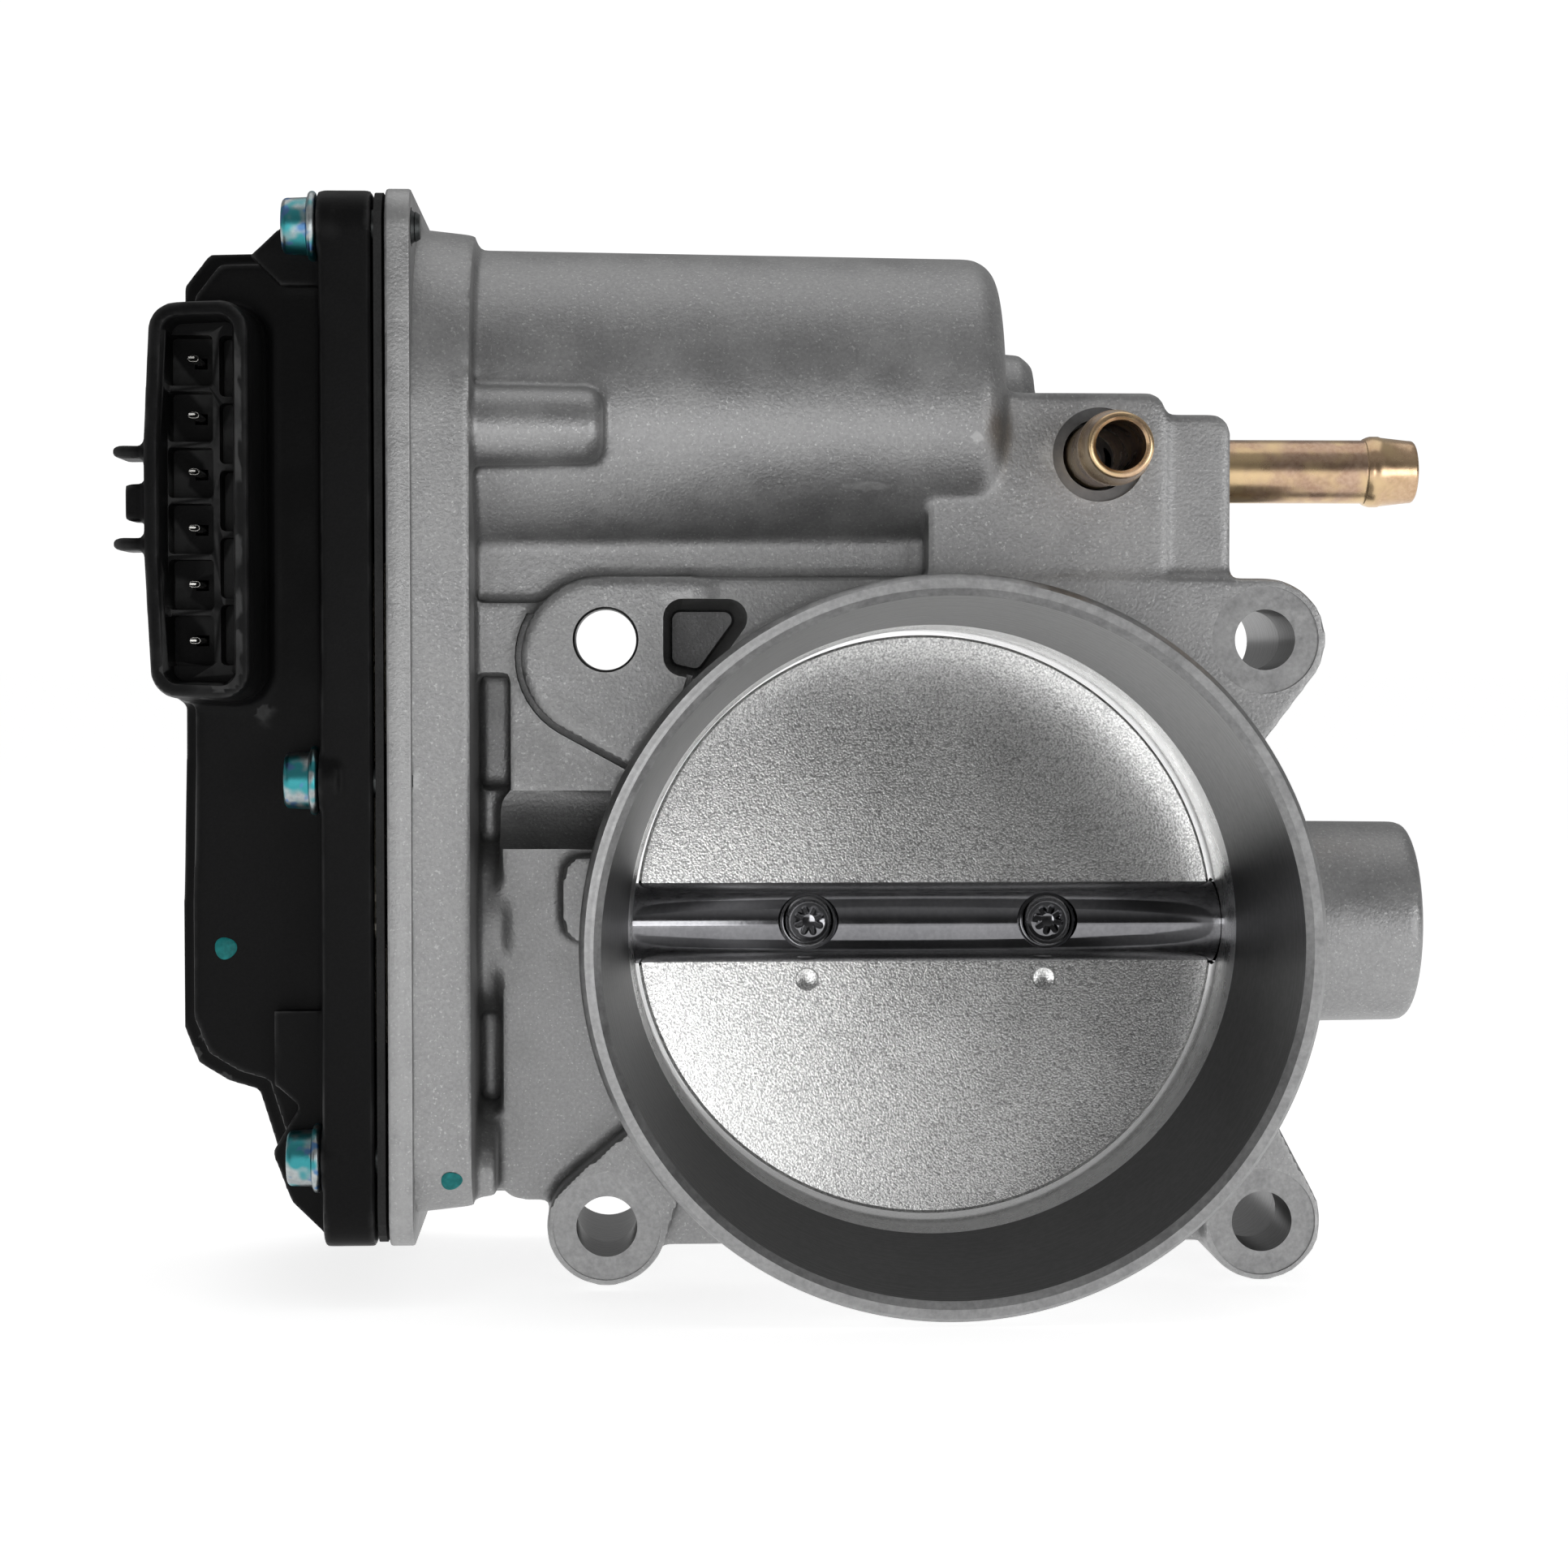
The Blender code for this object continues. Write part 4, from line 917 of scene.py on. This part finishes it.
@dataclass
class Cover:
    """The black moulded cover with its raised part and the six-way plug shroud."""

    layout: Layout
    finishes: Finishes
    face_x: float = -63.7
    rim_x: float = -69.5
    end_x: float = -86.0
    bulge_h: Span = (3.0, 41.0)
    shroud_x: Span = (-88.0, -76.0)
    shroud_z: Span = (27.0, 70.4)
    shroud_h: float = 55.0
    floor_h: float = 44.0
    divide_x: float = -80.6
    inner_ribs: int = 5
    wall: float = 2.2
    softening: Softening = Softening(0.4, 3, 0.3)

    def outline(self, inset: float) -> list[Point]:
        """The raised part's side view, in X and Z, drawn inset by a wall."""
        left, right = self.end_x + inset, self.rim_x + 1 + inset
        return [(right, 77.6 - inset), (left + 3.4, 77.2 - inset), (left + 0.6, 73.6 - inset),
                (left + 0.4, 20.0), (left, 4.0), (left, -10.5 + inset), (left + 1.6, -14.5 + inset),
                (left + 5, -16.6 + inset), (-77.6 + inset, -17.6 + inset), (-75.0 + inset, -26.0 + inset),
                (right, -31.4 + inset)]

    def shroud_outline(self, grow: float) -> list[Circle]:
        """Circles round which the plug shroud is wrapped; its outer side bows outwards."""
        (left, right), (low, high) = self.shroud_x, self.shroud_z
        middle = (low + high) / 2
        return [(left + 3.9, high - 3.4, 3.2 + grow), (right - 3.6, high - 3.4, 3.4 + grow),
                (left + 3.9, low + 3.4, 3.2 + grow), (right - 3.6, low + 3.4, 3.4 + grow),
                (left + 3.5, middle + 6, 3.4 + grow), (left + 3.5, middle - 6, 3.4 + grow)]

    def ribs(self) -> list[Shape]:
        """Gussets beside the screws, the latch guards and the latch ramp."""
        shapes = []
        for y in (-42.8, -1.4):
            top = [(self.rim_x + 1, 82.0), (-73.3, 80.2), (-77.5, 76.4), (-74, 73), (self.rim_x + 1, 73)]
            foot = [(self.rim_x + 1, -34.3), (-73.4, -29.6), (-75.5, -24), (-72, -18), (self.rim_x + 1, -18)]
            knee = [(self.rim_x + 1, -22.0), (-75.2, -16.4), (-75.2, -8), (self.rim_x + 1, -8)]
            for outline in (top, foot, knee):
                shapes.append(Shape.prism(outline, -y - 0.8, -y + 0.8))
        for z in (44.0, 54.0):
            shapes.append(Shape.wrapped([(-90.6, z, 0.72), (-86.5, z, 0.66)], 45, 53, 20))
        shapes.append(Shape.prism([(-86, 50.6), (-89.8, 50.6), (-90.1, 50.3), (-90.1, 46.8), (-89.8, 46.5),
                                   (-86, 46.5)], 47, 52))
        return [shape.placed(Along.BORE) for shape in shapes]

    def blank(self) -> bpy.types.Object:
        """The moulding's outside, with soft edges."""
        low, high = self.bulge_h
        shroud = self.shroud_outline(0.0)
        flange = Shape.rounded((-48.4, 4.5), (-34.5, 83.6), 4.5, self.rim_x, self.face_x, 48)
        shapes = [
            flange.placed(Along.SHAFT),
            Shape.prism(self.outline(0), low, high - 3.2).placed(Along.BORE),
            Shape.prism(self.outline(1.5), low + 1.5, high).placed(Along.BORE),
            Shape.wrapped(shroud, 38, self.shroud_h - 1.6, 48, 0.25, 0.0).placed(Along.BORE),
            Shape.wrapped(shroud, self.shroud_h - 4, self.shroud_h, 48, -0.1, -0.25).placed(Along.BORE),
            Shape.wrapped(shroud, 36, 43, 48, 1.1, 0.5).placed(Along.BORE),
            *self.ribs(),
        ]
        for y, z in self.layout.screws:
            pad = Shape.rod(3.75, self.rim_x - 0.25, self.rim_x + 2, 48)
            shapes.append(pad.placed(Along.SHAFT, (0, y, z)))
        return self.softening.blank("cover", shapes, [self.finishes.black])

    def hollow_cuts(self) -> list[Shape]:
        """The room for the gears and the screw holes."""
        tray = [(-25.6, 58, 20.8), (-18.4, 58, 20.8), (-40.4, -22, 6), (-3.6, -22, 6)]
        room = Shape.wrapped(tray, -67.5, self.face_x + 1, 64).placed(Along.SHAFT)
        inner = Shape.prism(self.outline(self.wall), self.bulge_h[0] + self.wall,
                            self.bulge_h[1] - self.wall).placed(Along.BORE)
        cuts = [room, inner]
        for y, z in self.layout.screws:
            cuts.append(Shape.rod(2.2, -72, -60, 32).placed(Along.SHAFT, (0, y, z)))
        seat = Shape.block((-50, 6), (-36, 85), (self.face_x, self.face_x + 2)).placed(Along.SHAFT)
        return [*cuts, seat]

    def socket_cuts(self) -> list[Shape]:
        """The plug's socket: a lead-in, and cells left between the ribs."""
        mouth = Shape.wrapped(self.shroud_outline(-1.9), self.shroud_h - 1.0, self.shroud_h + 1, 48, 0.0, 0.6)
        cuts = [mouth]
        divide = self.divide_x
        left, right = self.shroud_x[0] + 2.1, self.shroud_x[1] - 1.8
        spots = self.layout.terminals
        pitch = spots[0] - spots[1]
        middle = sum(spots) / len(spots)
        reach = pitch * len(spots) / 2
        rim = Shape.wrapped(self.shroud_outline(-1.9), self.floor_h + 4.5, self.shroud_h, 48)
        cuts.append(rim)
        for z in spots:
            cell = Shape.rounded((left, divide - 0.35), (z - pitch / 2 + 0.3, z + pitch / 2 - 0.3), 0.5,
                                 self.floor_h, self.shroud_h - 2, 12)
            cuts.append(cell)
        for n in range(self.inner_ribs):
            low = middle - reach + 2 * reach * n / self.inner_ribs + 0.35
            high = middle - reach + 2 * reach * (n + 1) / self.inner_ribs - 0.35
            cuts.append(Shape.rounded((divide + 0.35, right), (low, high), 0.6, self.floor_h + (n % 2) * 1.5,
                                      self.shroud_h - 2, 12))
        x = self.layout.middle("terminal_1").x
        for z in spots:
            cuts.append(Shape.block((x - 0.7, x + 0.7), (z - 0.6, z + 0.6), (33, self.floor_h + 1)))
        return [shape.placed(Along.BORE) for shape in cuts]

    def build(self) -> bpy.types.Object:
        """Moulds the cover, opens its hollows and installs it."""
        body = self.blank()
        work(body, Operation.CUT, [*self.hollow_cuts(), *self.socket_cuts()])
        install(body, "housing", ["gear_cover"])
        self.terminals()
        return body

    def terminals(self) -> None:
        """The six blades in the socket, with pointed tips."""
        x = self.layout.middle("terminal_1").x
        for n, z in enumerate(self.layout.terminals):
            blade = Shape.wrapped([(x - 0.25, z, 0.32), (x + 0.25, z, 0.32)], 34.0, 50.6, 12)
            tip = Shape.wrapped([(x - 0.25, z, 0.32), (x + 0.25, z, 0.32)], 50.5, 52.0, 12, 0.0, -0.22)
            made = blade.placed(Along.BORE).piece(f"blade_{n + 1}", [self.finishes.tin])
            work(made, Operation.JOIN, [tip.placed(Along.BORE)])
            install(made, "housing", [f"terminal_{n + 1}"])


@dataclass
class CoverScrew:
    """A flange-head screw with a six-lobed recess and a rolled thread."""

    finishes: Finishes
    seat_x: float = -69.8
    tip_x: float = -58.4

    def build(self, number: int, y: float, z: float) -> bpy.types.Object:
        """Makes one screw.

        Args:
            number: Its number among the cover screws.
            y: Its place along Y.
            z: Its place along Z.

        Returns:
            The screw.
        """
        head = self.seat_x
        profile = [(0, self.tip_x), (1.35, self.tip_x), (1.7, self.tip_x - 0.5)]
        for turn in range(6):
            low = self.tip_x - 0.6 - 0.75 * turn
            profile += [(1.62, low), (1.9, low - 0.37)]
        profile += [(1.62, head + 0.5), (1.7, head), *arc((3.45, head - 0.5), 0.45, 90, -180, 6),
                    (3.2, head - 1.05), (3.12, head - 2.9), *arc((2.5, head - 3.2), 0.62, 0, -90, 5),
                    (0, head - 3.82)]
        body = Shape.turned(profile, 56).placed(Along.SHAFT, (0, y, z))
        for face in body.bm.faces:
            face.material_index = int(face.calc_center_median().x > head + 1)
        made = body.piece(f"flange_screw_{number}", [self.finishes.zinc, self.finishes.thread])
        lobes = [Shape.rod(1.25, head - 4.5, head - 2.0, 32)]
        for n in range(6):
            turn = Matrix.Rotation(n * math.pi / 3, 4, "Z") @ Matrix.Translation((1.25, 0, 0))
            lobes.append(Shape.rod(0.42, head - 4.5, head - 2.0, 16).moved(turn))
        work(made, Operation.CUT, [lobe.placed(Along.SHAFT, (0, y, z)) for lobe in lobes])
        install(made, "housing", [f"cover_screw_{number}"])
        return made


@dataclass
class Throttle:
    """The shaft, the plate and its two screws, which turn together."""

    layout: Layout
    finishes: Finishes
    shaft_r: float = 4.9
    plate_r: float = 34.6
    thick: float = 2.0
    screw_x: float = 14.2
    rest: float = math.radians(7.0)

    def tilt(self) -> Matrix:
        """From the plate's own frame, whose Z is across it, to the model's."""
        turn = Matrix.Rotation(math.pi / 2 - self.rest, 4, "X")
        return Matrix.Translation(self.layout.shaft()) @ turn

    def shaft(self) -> None:
        """The shaft with its slot, its faced screw seats and its chamfered ends."""
        low, high = (value.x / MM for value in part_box("throttle_shaft"))
        body = Shape.rod(self.shaft_r, low, high, 128, 0.6).placed(Along.SHAFT, self.layout.shaft())
        made = body.piece("cross_shaft", [self.finishes.steel])
        half = self.thick / 2 + 0.3
        slot = Shape.block((-self.plate_r - 0.3, self.plate_r + 0.3), (-8, 8), (-half, half))
        cuts = [slot.moved(self.tilt())]
        for x in (-self.screw_x, self.screw_x):
            seat = Shape.turned([(0, -8), (2.3, -8), (2.3, 3.6), (3.3, 3.6), (3.7, 5.4), (0, 5.4)], 48)
            cuts.append(seat.moved(self.tilt() @ Matrix.Translation((x, 0, 0))))
        work(made, Operation.CUT, cuts)
        install(made, "throttle", ["throttle_shaft"])

    def plate(self) -> None:
        """The plate: a disc with eased edges, two dimples and two screw holes."""
        half = self.thick / 2
        profile = [(0, -half), (self.plate_r - 0.35, -half), (self.plate_r, -half + 0.35),
                   (self.plate_r, half - 0.35), (self.plate_r - 0.35, half), (0, half)]
        made = Shape.turned(profile, 192).moved(self.tilt()).piece("butterfly_plate", [self.finishes.plate])
        cuts = []
        for x in (-self.screw_x, self.screw_x):
            spot = self.tilt() @ Matrix.Translation((x, 0, 0))
            cuts.append(Shape.rod(2.3, -3, 3, 32).moved(spot))
            dimple = Shape.turned([(0, half - 0.3), (0.7, half - 0.28), (1.25, half - 0.16),
                                   (1.5, half + 0.1), (1.5, half + 1), (0, half + 1)], 40)
            cuts.append(dimple.moved(spot @ Matrix.Translation((0.0, -6.8, 0))))
        work(made, Operation.CUT, cuts)
        install(made, "throttle", ["throttle_plate"], 20.0)

    def screws(self) -> None:
        """Domed screws with a star recess, staked so that they can't come loose."""
        for n, x in enumerate((-self.screw_x, self.screw_x)):
            dome = [(0, -4.6), (1.6, -4.6), (2.0, -4.2), (2.0, 3.85), (2.95, 3.85), (3.0, 4.4), (2.86, 5.0),
                    (2.45, 5.6), (1.9, 6.0), (1.2, 6.22), (0, 6.3)]
            spot = self.tilt() @ Matrix.Translation((x, 0, 0)) @ Matrix.Rotation(0.35 + n, 4, "Z")
            made = Shape.turned(dome, 64).moved(spot).piece(f"staked_screw_{n + 1}", [self.finishes.steel])
            cuts = [Shape.turned([(0, 5.0), (0.75, 5.1), (0.85, 7), (0, 7)], 24).moved(spot)]
            for lobe in range(4):
                turn = Matrix.Rotation(lobe * math.pi / 4, 4, "Z")
                arm = Shape.wrapped([(-1.45, 0, 0.3), (1.45, 0, 0.3)], 5.25, 7, 12, -0.1, 0.35)
                cuts.append(arm.moved(spot @ turn))
            work(made, Operation.CUT, cuts)
            install(made, "throttle", [f"plate_screw_{n + 1}"])

    def build(self) -> None:
        """Makes the shaft, the plate and the screws."""
        self.shaft()
        self.plate()
        self.screws()


@dataclass
class Pipes:
    """The two coolant pipes, with a hose bead near each tip."""

    layout: Layout
    finishes: Finishes
    bore_r: float = 2.8
    stem_r: float = 3.75

    def pipe(self, root: float, tip: float) -> Shape:
        """Turns one pipe, with its bead in the brighter slot."""
        r, flare = self.stem_r, self.stem_r + 0.45
        profile = [(self.bore_r, root), (r, root), (r, tip - 6.3),
                   *arc((r + 0.35, tip - 6.3), 0.35, 180, -60, 3), (flare - 0.1, tip - 5.6),
                   (flare, tip - 5.2), (flare, tip - 4.3), (flare - 0.12, tip - 4.0),
                   (r - 0.02, tip - 0.9), *arc((r - 0.5, tip - 0.45), 0.45, 10, 80, 4),
                   (self.bore_r + 0.3, tip), (self.bore_r, tip - 0.3)]
        shape = Shape.turned(profile, 96)
        for face in shape.bm.faces:
            if face.calc_center_median().z > tip - 6.2:
                face.material_index = 1
        return shape

    def build(self) -> None:
        """Makes both pipes."""
        front = self.layout.middle("coolant_pipe_front")
        side = self.layout.middle("coolant_pipe_side")
        low_y = -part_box("coolant_pipe_front")[0].y / MM
        high_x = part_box("coolant_pipe_side")[1].x / MM
        slots = [self.finishes.copper, self.finishes.brass]
        made = self.pipe(29.3, low_y).placed(Along.BORE, (front.x, 0, front.z)).piece("front_pipe", slots)
        install(made, "housing", ["coolant_pipe_front"], 25.0)
        made = self.pipe(27.3, high_x).placed(Along.SHAFT, (0, side.y, side.z)).piece("side_pipe", slots)
        install(made, "housing", ["coolant_pipe_side"], 25.0)


@dataclass
class SmallPieces:
    """The end plug and the two paint dots."""

    layout: Layout
    finishes: Finishes

    def plug(self) -> None:
        """The pressed cup that closes the shaft's boss."""
        low, high = (value.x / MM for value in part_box("shaft_end_plug"))
        profile = [(0, low), (7.3, low), (7.7, low + 0.4), (7.7, high - 0.2), (7.5, high), (7.1, high),
                   (6.9, high - 0.3), (6.6, low + 1.6), (5.9, low + 1.2), (0, low + 1.1)]
        made = Shape.turned(profile, 96).placed(Along.SHAFT, self.layout.shaft())
        made = made.piece("boss_plug", [self.finishes.steel])
        install(made, "housing", ["shaft_end_plug"])

    def dot(self, name: str, on: bpy.types.Object, x: float, z: float, radius: float) -> None:
        """A dab of paint on a piece's front.

        Args:
            name: The dab's name.
            on: The piece that carries it.
            x: Its place along X.
            z: Its place along Z.
            radius: Its radius.
        """
        hit, spot, normal, _ = on.ray_cast(Vector((x, -100, z)) * MM, Vector((0, 1, 0)))
        bm = bmesh.new()
        bmesh.ops.create_uvsphere(bm, u_segments=32, v_segments=16, radius=radius)
        for vert in bm.verts:
            lobe = 1 + 0.05 * math.sin(3 * math.atan2(vert.co.y, vert.co.x) + 1)
            vert.co = (vert.co.x * lobe, vert.co.y * lobe, vert.co.z * 0.14)
        turn = (normal if hit else Vector((0, -1, 0))).to_track_quat("Z", "Y").to_matrix().to_4x4()
        made = Shape(bm).moved(Matrix.Translation(spot / MM) @ turn).piece(name, [self.finishes.paint])
        install(made, "housing")

    def build(self, casting: bpy.types.Object, cover: bpy.types.Object) -> None:
        """Makes the plug and the dots."""
        self.plug()
        self.dot("paint_dot_cover", cover, -80.9, -1.1, 1.25)
        self.dot("paint_dot_case", casting, -55.3, -26.9, 1.2)


@dataclass
class CarriedNodes:
    """CAD nodes whose shape stays, with their finishes."""

    finishes: Finishes

    def dress(self) -> None:
        """Gives every node that nothing replaces its finish."""
        by_slot = {
            "cast_aluminium": self.finishes.cast, "plate_metal": self.finishes.plate,
            "polished_steel": self.finishes.steel, "zinc_steel": self.finishes.zinc,
            "copper_alloy": self.finishes.copper, "black_plastic": self.finishes.black,
            "gear_plastic": self.finishes.gear, "rubber": self.finishes.rubber,
            "magnet": self.finishes.magnet,
        }
        slots = {part["node"]: part["material_slot"] for part in frame["record"]["subparts"]}
        for name, node in frame["nodes"].items():
            node.data.materials.clear()
            node.data.materials.append(by_slot[slots[name]])


# --- studio --------------------------------------------------------------------------------------


@dataclass(frozen=True)
class Softbox:
    """A square studio light, placed in millimetres and aimed at the object's middle."""

    name: str
    spot: tuple[float, float, float]
    side: float
    radiance: float
    aim: tuple[float, float, float] = (-15.0, -25.0, 20.0)

    def build(self) -> None:
        """Adds the light."""
        data = bpy.data.lights.new(self.name, "AREA")
        data.shape = "SQUARE"
        data.size = self.side * MM
        data.energy = self.radiance * math.pi * data.size ** 2
        made = bpy.data.objects.new(self.name, data)
        bpy.context.scene.collection.objects.link(made)
        made.location = Vector(self.spot) * MM
        made.rotation_euler = (Vector(self.aim) - Vector(self.spot)).to_track_quat("-Z", "Y").to_euler()


@dataclass
class Studio:
    """Floor, world, lights and camera."""

    camera_spot: tuple[float, float, float] = (-35.1, -408.1, 31.46)
    yaw: float = 0.0472
    pitch: float = -0.0384
    lens: float = 74.3
    lights: tuple[Softbox, ...] = (
        Softbox("key", (330, -420, -20), 260, 3.4),
        Softbox("fill", (-520, -260, 160), 360, 0.25),
        Softbox("near_axis", (-60, -432, 26), 100, 4.0),
        Softbox("overhead", (0, 60, 650), 600, 0.7),
    )

    def floor(self) -> None:
        """A pale floor just under the object."""
        bm = bmesh.new()
        bmesh.ops.create_grid(bm, x_segments=4, y_segments=4, size=20.0)
        bmesh.ops.translate(bm, vec=(0, 0, CAD_BOUNDS[0][2] - 0.0003), verts=bm.verts)
        mesh = bpy.data.meshes.new("floor")
        bm.to_mesh(mesh)
        bm.free()
        made = bpy.data.materials.new("floor_paper")
        made.use_nodes = True
        tree = Tree(made.node_tree)
        tone = tree.mix(tree.noise(60.0, 3.0), (0.88, 0.88, 0.88), (0.90, 0.90, 0.90))
        shader = tree.put("ShaderNodeBsdfPrincipled", {"Base Color": tone, "Roughness": 0.9,
                                                       "Specular IOR Level": 0.1,
                                                       "Emission Color": (1.0, 1.0, 1.0),
                                                       "Emission Strength": 0.72})
        tree.wire(tree.put("ShaderNodeOutputMaterial").inputs["Surface"], shader.outputs[0])
        placed_mesh("floor", mesh, [made])

    def world(self) -> None:
        """White where it is seen, bright behind and above, and dim in front."""
        world = bpy.data.worlds.new("studio")
        world.use_nodes = True
        bpy.context.scene.world = world
        tree = Tree(world.node_tree)
        coordinates = tree.put("ShaderNodeTexCoord")
        way = tree.put("ShaderNodeSeparateXYZ", {"Vector": coordinates.outputs["Generated"]})
        behind = tree.between(way.outputs["Y"], -0.5, 0.5)
        above = tree.between(way.outputs["Z"], 0.0, 0.9)
        glow = tree.between(tree.sum("MAXIMUM", behind, above), 0.0, 1.0, 0.05, 0.35)
        seen = tree.put("ShaderNodeLightPath").outputs["Is Camera Ray"]
        strength = tree.sum("MAXIMUM", glow, tree.sum("MULTIPLY", seen, 1.05))
        back = tree.put("ShaderNodeBackground", {"Color": (1.0, 1.0, 1.0), "Strength": strength})
        tree.wire(tree.put("ShaderNodeOutputWorld").inputs["Surface"], back.outputs[0])

    def camera(self) -> None:
        """The camera, in front and a little to the left."""
        data = bpy.data.cameras.new("camera")
        data.lens = self.lens
        data.sensor_width = 36.0
        data.clip_start = 0.01
        data.clip_end = 100.0
        made = bpy.data.objects.new("camera", data)
        bpy.context.scene.collection.objects.link(made)
        made.location = Vector(self.camera_spot) * MM
        made.rotation_euler = (math.pi / 2 + self.pitch, 0.0, -self.yaw)
        bpy.context.scene.camera = made

    def build(self) -> None:
        """Sets up the studio."""
        self.floor()
        self.world()
        self.camera()
        for light in self.lights:
            light.build()
        bpy.context.scene.view_settings.view_transform = "Standard"


def main() -> None:
    """Builds the model round the frame."""
    logging.basicConfig(level=logging.INFO, format="%(message)s")
    layout = Layout()
    finishes = Finishes()
    Studio().build()
    CarriedNodes(finishes).dress()
    casting = Housing(layout, finishes).build()
    cover = Cover(layout, finishes).build()
    for n, (y, z) in enumerate(layout.screws):
        CoverScrew(finishes).build(n + 1, y, z)
    Throttle(layout, finishes).build()
    Pipes(layout, finishes).build()
    SmallPieces(layout, finishes).build(casting, cover)


if __name__ == "__main__":
    main()
